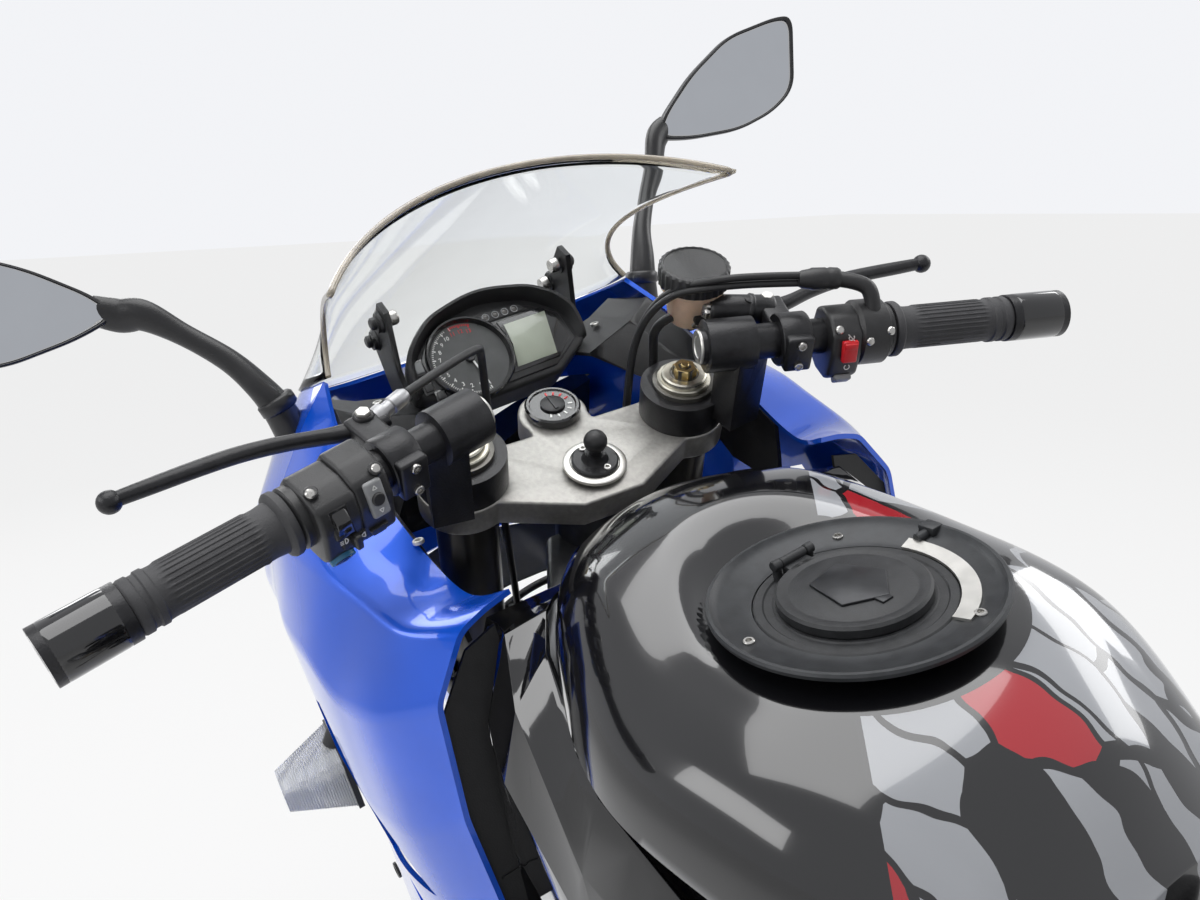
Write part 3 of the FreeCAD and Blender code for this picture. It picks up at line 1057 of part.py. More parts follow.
def write(place, steer, stand_axis):
    """Set the leaned bike down with the middle of its box over the origin, and say where things are."""
    posed = {}
    box = FreeCAD.BoundBox()
    for name, (body, shape) in NODES.items():
        pose = place * steer if body in ("steering", "front_wheel") else place
        posed[name] = shape.transformed(pose.Matrix, True)
        box.add(posed[name].optimalBoundingBox(True, False))
    shift = Vector(-box.Center.x, -box.Center.y, 0)
    os.makedirs("parts", exist_ok=True)
    for name, shape in posed.items():
        shape.translate(shift)
        if not shape.isValid() or shape.Volume <= 0:
            print("check", name)
        shape.exportStep(f"parts/{name}.step")
    print("box", [round(v, 1) for v in (box.XMin + shift.x, box.YMin + shift.y, box.ZMin, box.XMax + shift.x,
                                        box.YMax + shift.y, box.ZMax)], len(posed))
    turned_pose = place * steer
    for label, pose, point, axis in (
            ("steering", place, AXIS_FOOT + AXIS_UP * LOWER_YOKE_W, AXIS_UP),
            ("front_wheel", turned_pose, FRONT_AXLE, Y), ("rear_wheel", place, REAR_AXLE, Y),
            ("side_stand", place, STAND_PIVOT, stand_axis),
            ("fuel_lid", place, Vector(CAP_X + HINGE_X, 0, RING_Z + HINGE_UP), Y),
            ("neck", place, Vector(CAP_X, 0, RING_Z - NECK_DEEP / 2), Z),
            ("ball", turned_pose, at_steer(0, 0, YOKE_TOP_W + 28), AXIS_UP),
            ("ring", place, Vector(CAP_X, 0, RING_Z + RING_TALL), Z)):
        where, along = pose.multVec(point) + shift, pose.Rotation.multVec(axis)
        print(label, [round(v, 4) for v in where], [round(v, 6) for v in along])


main()
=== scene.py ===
import json
from math import acos, atan2, cos, dist, hypot, pi, radians, sin

import bmesh
import bpy
from mathutils import Matrix, Vector


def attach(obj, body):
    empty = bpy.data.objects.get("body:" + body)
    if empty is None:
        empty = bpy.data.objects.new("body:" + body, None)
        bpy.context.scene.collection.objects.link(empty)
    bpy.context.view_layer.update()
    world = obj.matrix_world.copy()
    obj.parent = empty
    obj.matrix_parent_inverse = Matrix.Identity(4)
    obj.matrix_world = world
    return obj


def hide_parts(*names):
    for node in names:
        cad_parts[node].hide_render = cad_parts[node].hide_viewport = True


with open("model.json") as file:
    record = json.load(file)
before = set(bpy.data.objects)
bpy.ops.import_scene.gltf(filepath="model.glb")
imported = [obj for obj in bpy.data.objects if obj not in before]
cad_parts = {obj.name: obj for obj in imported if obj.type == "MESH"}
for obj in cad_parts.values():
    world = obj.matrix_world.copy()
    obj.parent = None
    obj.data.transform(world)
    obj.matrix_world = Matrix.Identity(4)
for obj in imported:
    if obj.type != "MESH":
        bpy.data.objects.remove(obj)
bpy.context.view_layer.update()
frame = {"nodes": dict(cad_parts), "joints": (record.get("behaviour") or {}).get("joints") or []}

# The motorcycle leans on its side stand with its bars turned a little. Its pieces are drawn in
# millimetres on the upright machine (x forward, y left, z up from the ground under the rear axle) or
# on the steering axis (u forward, v left, w up along it), and these matrices set them in the frame.
RAKE = radians(24.5)
REAR_AXLE_UP, LOWER_YOKE_UP = 313.17, 770.0
joints = {joint["name"]: joint for joint in frame["joints"]}
steer_up = Vector(joints["steering"]["axis"])
bike_left = Vector(joints["rear_wheel"]["axis"])
steer_fore = bike_left.cross(steer_up)
bike_fore = steer_fore * cos(RAKE) - steer_up * sin(RAKE)
bike_up = steer_fore * sin(RAKE) + steer_up * cos(RAKE)
bar_left = Vector(joints["front_wheel"]["axis"])


def axes(x, y, z, origin):
    """A matrix from millimetres on three directions to metres in the frame."""
    turn = Matrix((x, y, z)).transposed().to_4x4()
    return Matrix.Translation(origin) @ turn @ Matrix.Scale(0.001, 4)


BIKE = axes(bike_fore, bike_left, bike_up,
            Vector(joints["rear_wheel"]["pos_m"]) - bike_up * REAR_AXLE_UP / 1000)
STEER = axes(bar_left.cross(steer_up), bar_left, steer_up,
             Vector(joints["steering"]["pos_m"]) - steer_up * LOWER_YOKE_UP / 1000)
MIRROR = Matrix.Diagonal((1, -1, 1, 1))

# The photographer stood behind the left grip and looked forward and down over the tank; the angles
# are those of the lens on the upright machine, and the focal length is in pixels of a 1200 wide frame.
EYE = Vector((477, 325, 1223))
YAW, PITCH, ROLL = (radians(a) for a in (-27.4, 20.7, -13.0))
FOCUS_PX, FRAME_PX, SENSOR = 965.0, 1200.0, 36.0
look = Vector((cos(PITCH) * cos(YAW), cos(PITCH) * sin(YAW), -sin(PITCH)))
level = Vector((sin(YAW), -cos(YAW), 0))
over = level.cross(look)
right = level * cos(ROLL) + over * sin(ROLL)
top = over * cos(ROLL) - level * sin(ROLL)


def placed(name, data):
    """A new object in the scene, at the origin."""
    made = bpy.data.objects.new(name, data)
    bpy.context.scene.collection.objects.link(made)
    return made


camera = placed("camera", bpy.data.cameras.new("camera"))
camera.data.sensor_width = SENSOR
camera.data.lens = FOCUS_PX / FRAME_PX * SENSOR
camera.data.clip_start = 0.02
turn = BIKE.to_3x3().normalized() @ Matrix((right, top, -look)).transposed()
camera.matrix_world = Matrix.Translation(BIKE @ EYE) @ turn.to_4x4()
bpy.context.scene.camera = camera

# A pale studio: a broad soft lamp overhead, two long strips that draw the panels' highlights, a dim
# pale room, and a pale floor.
LAMPS = {"overhead": ((0.5, 0.2, 3.6), (3.4, 2.6), 84, (0, 0, 0.6)),
         "strip_left": ((0.6, 3.0, 2.2), (2.6, 0.9), 26, (0.1, 0, 0.8)),
         "strip_right": ((0.2, -3.0, 2.4), (2.8, 0.9), 26, (0.1, 0, 0.8)),
         "strip_front": ((3.4, 0.4, 2.2), (1.2, 2.0), 24, (0.2, 0, 0.8))}
for name, (at, size, power, aim) in LAMPS.items():
    lamp = bpy.data.lights.new(name, "AREA")
    lamp.shape, lamp.size, lamp.size_y, lamp.energy = "RECTANGLE", size[0], size[1], power
    toward = (Vector(aim) - Vector(at)).to_track_quat("-Z", "Y").to_matrix().to_4x4()
    placed(name, lamp).matrix_world = Matrix.Translation(at) @ toward
bpy.context.scene.view_settings.view_transform = "Standard"
ROOM_LIGHT, ROOM_SEEN, GLOSS_SHARE = 0.42, 0.93, 0.5


def seen_paler(tree, shader_out, dim, pale):
    """Mix a shader so that the camera, mirrors and glass see a paler background than lights the object."""
    new, link = tree.nodes.new, tree.links.new
    path = new("ShaderNodeLightPath")
    both = new("ShaderNodeMath")
    both.operation = "MAXIMUM"
    link(path.outputs["Is Camera Ray"], both.inputs[0])
    link(path.outputs["Is Transmission Ray"], both.inputs[1])
    gloss = new("ShaderNodeMath")
    gloss.operation = "MULTIPLY_ADD"
    gloss.use_clamp = True
    link(path.outputs["Is Glossy Ray"], gloss.inputs[0])
    gloss.inputs[1].default_value = GLOSS_SHARE
    link(both.outputs[0], gloss.inputs[2])
    mix = new("ShaderNodeMixShader")
    link(gloss.outputs[0], mix.inputs[0])
    link(dim, mix.inputs[1])
    link(pale, mix.inputs[2])
    link(mix.outputs[0], shader_out)


world = bpy.data.worlds.new("room")
world.use_nodes = True
bpy.context.scene.world = world
backgrounds = []
for strength in (ROOM_LIGHT, ROOM_SEEN):
    background = world.node_tree.nodes.new("ShaderNodeBackground")
    background.inputs["Color"].default_value = (0.96, 0.97, 1.0, 1)
    background.inputs["Strength"].default_value = strength
    backgrounds.append(background.outputs[0])
seen_paler(world.node_tree, world.node_tree.nodes["World Output"].inputs["Surface"], *backgrounds)
floor = placed("floor", bpy.data.meshes.new("floor"))
REACH, FLOOR_GLOW = 30.0, 0.85
floor.data.from_pydata([(-REACH, -REACH, 0), (REACH, -REACH, 0), (REACH, REACH, 0), (-REACH, REACH, 0)],
                       [], [(0, 1, 2, 3)])
paint = bpy.data.materials.new("floor_paint")
paint.use_nodes = True
plain = paint.node_tree.nodes["Principled BSDF"]
plain.inputs["Base Color"].default_value = (0.8, 0.8, 0.8, 1)
plain.inputs["Roughness"].default_value = 0.6
glow = paint.node_tree.nodes.new("ShaderNodeEmission")
glow.inputs["Color"].default_value = (0.94, 0.94, 0.94, 1)
half_pale = paint.node_tree.nodes.new("ShaderNodeMixShader")
half_pale.inputs[0].default_value = FLOOR_GLOW
paint.node_tree.links.new(plain.outputs[0], half_pale.inputs[1])
paint.node_tree.links.new(glow.outputs[0], half_pale.inputs[2])
seen_paler(paint.node_tree, paint.node_tree.nodes["Material Output"].inputs["Surface"], plain.outputs[0],
           half_pale.outputs[0])
floor.data.materials.append(paint)


# Two braided brake hoses run from the master cylinder down the fork legs to the calipers. They are
# rubber covered, 8 mm thick, and clipped to the fork; the route's points are those of the CAD part.
COAT_ROUGH, CLOUD_DETAIL, GRAIN_DETAIL, GRAIN_DEPTH = 0.03, 5.0, 3.0, 0.0006
SMOOTH_ALONG, SMOOTH_ROUND = 12, 5


def finish(name, colour, rough, metal=0.0, coat=0.0, mottle=0.1, scale=40.0, grain=0.0, grain_scale=900.0):
    """A finish with faint clouds in its colour and gloss and, where asked, a fine raised grain."""
    made = bpy.data.materials.new(name)
    made.use_nodes = True
    tree = made.node_tree
    new, link = tree.nodes.new, tree.links.new
    shader = tree.nodes["Principled BSDF"]
    shader.inputs["Metallic"].default_value = metal
    shader.inputs["Coat Weight"].default_value = coat
    shader.inputs["Coat Roughness"].default_value = COAT_ROUGH
    where = new("ShaderNodeTexCoord")
    cloud = new("ShaderNodeTexNoise")
    cloud.inputs["Scale"].default_value = scale
    cloud.inputs["Detail"].default_value = CLOUD_DETAIL
    link(where.outputs["Object"], cloud.inputs["Vector"])
    ramp = new("ShaderNodeValToRGB")
    ramp.color_ramp.elements[0].position, ramp.color_ramp.elements[1].position = 0.3, 0.7
    ramp.color_ramp.elements[0].color = [c * (1 - mottle) for c in colour] + [1]
    ramp.color_ramp.elements[1].color = [min(1, c * (1 + mottle)) for c in colour] + [1]
    link(cloud.outputs["Fac"], ramp.inputs["Fac"])
    link(ramp.outputs["Color"], shader.inputs["Base Color"])
    gloss = new("ShaderNodeMapRange")
    gloss.inputs["To Min"].default_value = rough * 0.85
    gloss.inputs["To Max"].default_value = min(1.0, rough * 1.15)
    link(cloud.outputs["Fac"], gloss.inputs["Value"])
    link(gloss.outputs["Result"], shader.inputs["Roughness"])
    if grain:
        fine = new("ShaderNodeTexNoise")
        fine.inputs["Scale"].default_value = grain_scale
        fine.inputs["Detail"].default_value = GRAIN_DETAIL
        link(where.outputs["Object"], fine.inputs["Vector"])
        bump = new("ShaderNodeBump")
        bump.inputs["Strength"].default_value = grain
        bump.inputs["Distance"].default_value = GRAIN_DEPTH
        link(fine.outputs["Fac"], bump.inputs["Height"])
        link(bump.outputs["Normal"], shader.inputs["Normal"])
    return made


def on_body(made, body, nodes=()):
    """Put a piece on its body, and hide the CAD nodes that it stands for."""
    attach(made, body)
    if nodes:
        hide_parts(*nodes)
    return made


def hose(name, points, radius, matrix, material, body):
    """A hose or cable as one smooth curve through a route of control points."""
    line = bpy.data.curves.new(name, "CURVE")
    line.dimensions = "3D"
    spline = line.splines.new("NURBS")
    spline.points.add(len(points) - 1)
    for point, at in zip(spline.points, points):
        point.co = (*(matrix @ Vector(at)), 1)
    spline.order_u = 3
    spline.use_endpoint_u = True
    spline.resolution_u = SMOOTH_ALONG
    line.bevel_depth = radius / 1000
    line.bevel_resolution = SMOOTH_ROUND
    line.materials.append(material)
    return on_body(placed(name, line), body, ())


def evaluated(made):
    """A plain mesh of a piece with its modifiers applied."""
    bpy.context.view_layer.update()
    return bpy.data.meshes.new_from_object(made.evaluated_get(bpy.context.evaluated_depsgraph_get()))


def run_length(made):
    """The length of a hose's own centre line, in metres."""
    line = made.data.copy()
    line.bevel_depth = 0
    bare = placed("line", line)
    points = [v.co.copy() for v in evaluated(bare).vertices]
    bpy.data.objects.remove(bare)
    return sum((b - a).length for a, b in zip(points, points[1:]))


black_rubber = finish("black_rubber", (0.018, 0.018, 0.019), 0.45, grain=0.25, grain_scale=700)
HOSE_R, CABLE_R, THROTTLE_R = 4.0, 3.5, 3.0
right_hose = hose("brake_hose_right", [
    (41, -123.7, 1120), (74, -92, 1106), (77, -98, 1050), (77, -98, 960), (80, -90, 860), (76, -96, 760),
    (70, -104, 660), (62, -112, 560), (40, -128, 480), (4, -122, 430), (-46, -88, 408)],
    HOSE_R, STEER, black_rubber, "steering")
left_hose = hose("brake_hose_left", [
    (80, -70, 812), (92, -30, 800), (92, 30, 796), (80, 84, 770), (70, 104, 660), (62, 112, 560),
    (40, 128, 480), (4, 122, 430), (-46, 88, 408)], HOSE_R, STEER, black_rubber, "steering")
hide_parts("brake_hoses")
clutch_cable = hose("clutch_line", [
    (42.5, 132.6, 1122), (84, 60, 1116), (102, 52, 1090), (102, 50, 1040), (92, 50, 975), (82, 46, 890),
    (70, 44, 800)], CABLE_R, STEER, black_rubber, "steering")
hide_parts("clutch_cable")
for line in (right_hose, left_hose, clutch_cable):
    print("line", line.name, round(run_length(line), 4))


# The fuel tank is pressed steel under gloss black lacquer, with a broad crown that falls in soft
# shoulders to flanks pulled in for the rider's knees, and a round recess for the filler.
def circle(count):
    """The angles of points spaced evenly round a circle."""
    return [2 * pi * k / count for k in range(count)]


def curve_through(rows, steps):
    """Rows of numbers eased into a smooth run, by Catmull-Rom, with a number of steps per gap."""
    run = []
    for index in range(len(rows) - 1):
        before, a, b = rows[max(index - 1, 0)], rows[index], rows[index + 1]
        after = rows[min(index + 2, len(rows) - 1)]
        for step in range(steps):
            t = step / steps
            run.append([0.5 * (2 * q + (r - p) * t + (2 * p - 5 * q + 4 * r - s) * t * t
                               + (3 * q - p - 3 * r + s) * t ** 3)
                        for p, q, r, s in zip(before, a, b, after)])
    return run + [list(rows[-1])]


def lofted(bm, rings, closed=True, caps=True):
    """A skin over rings of points; closed rings may be capped at both ends."""
    verts = [[bm.verts.new(p) for p in ring] for ring in rings]
    count = len(verts[0])
    for a, b in zip(verts, verts[1:]):
        for k in range(count if closed else count - 1):
            bm.faces.new((a[k], a[(k + 1) % count], b[(k + 1) % count], b[k]))
    if caps and closed:
        bm.faces.new(verts[0][::-1])
        bm.faces.new(verts[-1])
    return verts


def mesh_from(bm, name):
    """The drawn mesh as a piece's own data."""
    mesh = bpy.data.meshes.new(name)
    bm.to_mesh(mesh)
    bm.free()
    return mesh


def shaded(mesh, sharp=35.0):
    """Smooth faces, with the edges past an angle kept sharp."""
    mesh.polygons.foreach_set("use_smooth", [True] * len(mesh.polygons))
    mesh.set_sharp_from_angle(angle=radians(sharp))


def made_of(bm, name, matrix, material, body, nodes=(), sharp=35.0):
    """Set a drawn mesh in the frame, shade it, and put it on its body for the nodes that it stands for."""
    bm.transform(matrix)
    bmesh.ops.remove_doubles(bm, verts=bm.verts, dist=0.00001)
    bmesh.ops.recalc_face_normals(bm, faces=bm.faces)
    mesh = mesh_from(bm, name)
    shaded(mesh, sharp)
    mesh.materials.append(material)
    return on_body(placed(name, mesh), body, nodes)


# x, crown half width, its z, top z, widest half width, its z, foot half width, its z
TANK_ROWS = [(662, 58, 826, 842, 94, 782, 84, 722), (705, 74, 868, 890, 122, 806, 96, 712),
             (780, 94, 906, 922, 154, 842, 124, 730), (880, 104, 914, 930, 164, 856, 132, 778),
             (975, 90, 934, 946, 134, 868, 112, 822), (1036, 62, 926, 937, 92, 894, 84, 854),
             (1066, 34, 906, 913, 50, 892, 44, 874)]
CAP_X, RING_Z, RING_R = 840.0, 919.0, 84.0


def tank_half(crown, crown_z, top_z, wide, wide_z, foot, foot_z):
    """Half a section of the tank, from the top of its crown out over the shoulder and down the flank."""
    points = [(crown * k / 28, top_z - (top_z - crown_z) * (k / 28) ** 2) for k in range(28)]
    bulge = 0.16 * hypot(wide - crown, crown_z - wide_z)
    knee = (crown + wide) / 2 + bulge * 1.3, (crown_z + wide_z) / 2 + bulge * 1.3
    for k in range(17):
        t = k / 16
        points.append(tuple((1 - t) ** 2 * a + 2 * t * (1 - t) * b + t * t * c
                            for a, b, c in zip((crown, crown_z), knee, (wide, wide_z))))
    for k in range(1, 9):
        t = k / 8
        points.append((wide + (foot - wide) * t - 9 * sin(pi * t), wide_z + (foot_z - wide_z) * t))
    return points


def dished(x, y, z):
    """The crown eased down to the flat seat that the filler ring stands on."""
    seat = RING_Z - 0.4 + max(0.0, hypot(x - CAP_X, y) - RING_R - 3) * 0.8
    blend = max(0.0, 1 - abs(z - seat) / 8)
    return min(z, seat) - blend * blend * 2


tank = bmesh.new()
rings = []
for x, *sizes in curve_through(TANK_ROWS, 24):
    half = [(y, dished(x, y, z)) for y, z in tank_half(*sizes)]
    rings.append([Vector((x, y, z)) for y, z in half] + [Vector((x, -y, z)) for y, z in half[:0:-1]])
lofted(tank, rings)


def lathe(bm, profile, base, axis, steps=64):
    """Turn an outline of (radius, along) corners about a line; radius 0 closes an end."""
    axis = Vector(axis).normalized()
    side = axis.orthogonal().normalized()
    across = axis.cross(side)
    rings = []
    for radius, along in profile:
        middle = Vector(base) + axis * along
        angles = circle(steps) if radius else [0]
        rings.append([bm.verts.new(middle + (side * cos(a) + across * sin(a)) * radius) for a in angles])
    for a, b in zip(rings, rings[1:]):
        for k in range(steps):
            corners = [a[k % len(a)], a[(k + 1) % len(a)], b[(k + 1) % len(b)], b[k % len(b)]]
            corners = list(dict.fromkeys(corners))
            if len(corners) > 2:
                bm.faces.new(corners)


def rod(bm, start, end, radius, ease=1.0, steps=48):
    """A round bar between two points, its rims eased."""
    start, end = Vector(start), Vector(end)
    long = (end - start).length
    lathe(bm, [(0, 0), (radius - ease, 0), (radius, ease), (radius, long - ease), (radius - ease, long),
               (0, long)], start, end - start, steps)


LACQUER, SILVER, RED = (0.004, 0.004, 0.005), (0.3, 0.31, 0.33), (0.36, 0.012, 0.02)
tank_paint = finish("tank_lacquer", LACQUER, 0.14, coat=1.0, mottle=0.2, scale=3.0)


def upright_place(tree):
    """Object coordinates turned back to the upright machine, in metres."""
    where = tree.nodes.new("ShaderNodeTexCoord")
    spin = tree.nodes.new("ShaderNodeMapping")
    back = BIKE.to_3x3().normalized().transposed()
    spin.inputs["Rotation"].default_value = back.to_euler()
    spin.inputs["Location"].default_value = back @ -BIKE.translation
    tree.links.new(where.outputs["Object"], spin.inputs["Vector"])
    return spin.outputs["Vector"]


def maths(tree, operation, *values):
    """One arithmetic step in a material."""
    step = tree.nodes.new("ShaderNodeMath")
    step.operation = operation
    for socket, value in zip(step.inputs, values):
        if isinstance(value, (int, float)):
            socket.default_value = value
        else:
            tree.links.new(value, socket)
    return step.outputs[0]


def mixed(tree, factor, a, b):
    """Colour b over colour a by a factor."""
    step = tree.nodes.new("ShaderNodeMix")
    step.data_type = "RGBA"
    tree.links.new(factor, step.inputs["Factor"])
    for name, value in (("A", a), ("B", b)):
        socket = next(s for s in step.inputs if s.name == name and s.type == "RGBA")
        if isinstance(value, tuple):
            socket.default_value = (*value, 1)
        else:
            tree.links.new(value, socket)
    return next(s for s in step.outputs if s.type == "RGBA")


# sprayed shards in silver and red lie behind and to the right of the filler, between two circles
SHARD_SCALE, SHARD_EDGE, SHARD_IN, SHARD_OUT, SHARD_SIDE = 26.0, 0.045, 0.092, 0.24, 0.01
tree = tank_paint.node_tree
new, link = tree.nodes.new, tree.links.new
place = upright_place(tree)
warp = new("ShaderNodeTexNoise")
warp.inputs["Scale"].default_value = 14.0
link(place, warp.inputs["Vector"])
bend = new("ShaderNodeVectorMath")
bend.operation = "MULTIPLY_ADD"
link(warp.outputs["Color"], bend.inputs[0])
bend.inputs[1].default_value = (0.055, 0.055, 0.0)
link(place, bend.inputs[2])
stretch = new("ShaderNodeMapping")
stretch.inputs["Rotation"].default_value = (0, 0, radians(-38))
stretch.inputs["Scale"].default_value = (0.55, 1.25, 0.2)
link(bend.outputs[0], stretch.inputs["Vector"])
cells, edges = (new("ShaderNodeTexVoronoi") for _ in range(2))
edges.feature = "DISTANCE_TO_EDGE"
for pattern in (cells, edges):
    pattern.inputs["Scale"].default_value = SHARD_SCALE
    link(stretch.outputs["Vector"], pattern.inputs["Vector"])
split = new("ShaderNodeSeparateColor")
link(cells.outputs["Color"], split.inputs["Color"])
spot = new("ShaderNodeSeparateXYZ")
link(place, spot.inputs["Vector"])
ahead = maths(tree, "SUBTRACT", spot.outputs["X"], CAP_X / 1000)
reach = maths(tree, "SQRT", maths(tree, "ADD", maths(tree, "MULTIPLY", ahead, ahead),
                                  maths(tree, "MULTIPLY", spot.outputs["Y"], spot.outputs["Y"])))
aside = maths(tree, "ADD", maths(tree, "MULTIPLY", ahead, 0.62), maths(tree, "MULTIPLY", spot.outputs["Y"], 0.78))
band = maths(tree, "MULTIPLY", maths(tree, "GREATER_THAN", reach, SHARD_IN),
             maths(tree, "LESS_THAN", reach, SHARD_OUT))
band = maths(tree, "MULTIPLY", band, maths(tree, "LESS_THAN", aside, SHARD_SIDE))
inside = maths(tree, "MULTIPLY", band, maths(tree, "GREATER_THAN", edges.outputs["Distance"], SHARD_EDGE))
silver_here = maths(tree, "MULTIPLY", inside, maths(tree, "GREATER_THAN", split.outputs["Red"], 0.36))
red_here = maths(tree, "MULTIPLY", inside, maths(tree, "LESS_THAN", split.outputs["Red"], 0.24))
shader = tree.nodes["Principled BSDF"]
under = shader.inputs["Base Color"].links[0].from_socket
shards = mixed(tree, red_here, mixed(tree, silver_here, under, SILVER), RED)
link(shards, shader.inputs["Base Color"])
made_of(tank, "tank_shell", BIKE, tank_paint, "root", ["fuel_tank"], sharp=50)


# Round the filler stands a satin grey clamp ring for a bag: an upturned outer lip, a dished face, and
# three screws. Inside it are the filler's dark collar and the hinged lid; a pale arc in the bare metal finish over
# one quarter of the ring's inner lip is a painted highlight.
def drawn(name, matrix, material, body, slot, *steps, nodes=(), sharp=35.0):
    """A piece drawn in steps, each a way of drawing with its sizes, and set in the frame."""
    bm = bmesh.new()
    for way, *sizes in steps:
        way(bm, *sizes)
    return made_of(bm, name, matrix, material, body, nodes, sharp)


ring_grey = finish("ring_coating", (0.032, 0.034, 0.037), 0.42, metal=0.3, mottle=0.2, scale=120, grain=0.15)
drawn("clamp_ring", BIKE, ring_grey, "root", "ring_metal",
      (lathe, [(58, 0.3), (72, 0.3), (84, 8), (84.6, 10.5), (83.6, 12.0), (81.6, 12.0), (80.4, 10.6),
               (76.8, 7.2), (64.6, 5.2), (63.2, 4.6), (58, 4.6), (58, 0.3)], (CAP_X, 0, RING_Z), (0, 0, 1),
       128), nodes=["tank_ring"])
cap_black = finish("cap_coating", (0.024, 0.025, 0.027), 0.5, metal=0.2, mottle=0.25, scale=160, grain=0.3)
collar = bmesh.new()
lathe(collar, [(27, 0), (57.5, 0), (57.5, 4.2), (56.6, 5.0), (52, 5.0), (51, 4.2), (46.4, 4.2), (45.6, 5.0),
               (27, 5.0), (27, 0)], (CAP_X, 0, RING_Z), (0, 0, 1), 96)
for side in (-13, 13):
    rod(collar, (CAP_X + 49, side - 3, RING_Z + 14), (CAP_X + 49, side + 3, RING_Z + 14), 3.4, 0.5, 20)
    rod(collar, (CAP_X + 49, side, RING_Z + 4), (CAP_X + 49, side, RING_Z + 13), 2.9, 0.3, 20)
made_of(collar, "filler_collar_dressed", BIKE, cap_black, "root", ["filler_collar"])


def slab(bm, outline, rise, ease=1.0, segments=2):
    """A flat outline pushed along a vector, with its edges rounded over."""
    low = [bm.verts.new(p) for p in outline]
    high = [bm.verts.new(Vector(p) + Vector(rise)) for p in outline]
    count = len(low)
    faces = [bm.faces.new(low[::-1]), bm.faces.new(high)]
    faces += [bm.faces.new((low[k], low[(k + 1) % count], high[(k + 1) % count], high[k])) for k in range(count)]
    if ease:
        edges = list({edge for face in faces for edge in face.edges})
        bmesh.ops.bevel(bm, geom=edges, offset=ease, segments=segments, profile=0.5, affect="EDGES",
                        clamp_overlap=True)


def box(bm, low, high, ease=1.0, segments=2):
    """A block between two corners, its edges rounded over."""
    (x, y, z), (a, b, c) = low, high
    slab(bm, [(x, y, z), (a, y, z), (a, b, z), (x, b, z)], (0, 0, c - z), ease, segments)


LID_Z, LID_R, FLAP = RING_Z + 5.3, 44.0, (-50, 20, 95, 165, 235)
lid = bmesh.new()
lathe(lid, [(0, 0), (LID_R - 0.8, 0), (LID_R, 0.8), (LID_R, 5.4), (LID_R - 1.6, 7.0), (38, 7.0), (36.8, 6.2),
            (35.4, 6.2), (34.2, 7.0), (0, 7.0)], (CAP_X, 0, LID_Z), (0, 0, 1), 96)
box(lid, (CAP_X + 38, -9.5, LID_Z + 1.5), (CAP_X + 49, 9.5, LID_Z + 7), 1.2)
rod(lid, (CAP_X + 49, -9.6, RING_Z + 14), (CAP_X + 49, 9.6, RING_Z + 14), 3.0, 0.4, 24)
box(lid, (CAP_X + 46.4, -9.5, LID_Z + 5), (CAP_X + 51.6, 9.5, RING_Z + 14), 0.8)
made_of(lid, "lid_plate", BIKE, cap_black, "fuel_lid", ["fuel_lid"])
flap_satin = finish("key_flap", (0.03, 0.031, 0.034), 0.3, metal=0.5, mottle=0.15, scale=200)
drawn("key_flap", BIKE, flap_satin, "fuel_lid", "cap_metal",
      (slab, [(CAP_X + 25 * cos(radians(a + 24)), 23 * sin(radians(a + 24)), LID_Z + 6.8) for a in FLAP],
       (0, 0, 2.0), 0.9), (box, (CAP_X - 27, -4, LID_Z + 6.6), (CAP_X - 18, 4, LID_Z + 8.4), 0.6))
bare_metal = finish("bare_metal", (0.62, 0.61, 0.58), 0.38, metal=1.0, mottle=0.08, scale=90, grain=0.1)
# painted highlight: a thin pale band laid over one quarter of the ring's inner lip where light catches it, not a
# part of the ring
arc = bmesh.new()
SWEEP = [radians(-165 + 5 * k) for k in range(19)]
loops = [[(CAP_X + r * cos(a), r * sin(a), RING_Z + z) for r, z in ((57.8, 4.6), (57.8, 6.4), (68, 7.2),
        (68, 5.4))] for a in SWEEP]
lofted(arc, loops)
made_of(arc, "bare_arc", BIKE, bare_metal, "root", ())


def ring_tree():
    """Geometry nodes that set the incoming piece round a circle and give it its material."""
    group = bpy.data.node_groups.new("round_a_circle", "GeometryNodeTree")
    for name, kind in (("Piece", "NodeSocketGeometry"), ("Count", "NodeSocketInt"), ("Radius", "NodeSocketFloat"),
                       ("First angle", "NodeSocketFloat"), ("Angle step", "NodeSocketFloat"),
                       ("Material", "NodeSocketMaterial")):
        group.interface.new_socket(name, in_out="INPUT", socket_type=kind)
    group.interface.new_socket("Geometry", in_out="OUTPUT", socket_type="NodeSocketGeometry")
    new, link = group.nodes.new, group.links.new
    given, out = new("NodeGroupInput"), new("NodeGroupOutput")
    points = new("GeometryNodePoints")
    link(given.outputs["Count"], points.inputs["Count"])
    index = new("GeometryNodeInputIndex")
    angle = new("ShaderNodeMath")
    angle.operation = "MULTIPLY_ADD"
    link(index.outputs[0], angle.inputs[0])
    link(given.outputs["Angle step"], angle.inputs[1])
    link(given.outputs["First angle"], angle.inputs[2])
    turn = new("ShaderNodeCombineXYZ")
    link(angle.outputs[0], turn.inputs["Z"])
    arm = new("ShaderNodeCombineXYZ")
    link(given.outputs["Radius"], arm.inputs["X"])
    swing = new("ShaderNodeVectorRotate")
    swing.rotation_type = "EULER_XYZ"
    link(arm.outputs[0], swing.inputs["Vector"])
    link(turn.outputs[0], swing.inputs["Rotation"])
    link(swing.outputs[0], points.inputs["Position"])
    copies = new("GeometryNodeInstanceOnPoints")
    link(points.outputs[0], copies.inputs["Points"])
    link(given.outputs["Piece"], copies.inputs["Instance"])
    link(turn.outputs[0], copies.inputs["Rotation"])
    real, dress = new("GeometryNodeRealizeInstances"), new("GeometryNodeSetMaterial")
    link(copies.outputs[0], real.inputs[0])
    link(real.outputs[0], dress.inputs["Geometry"])
    link(given.outputs["Material"], dress.inputs["Material"])
    link(dress.outputs[0], out.inputs[0])
    return group


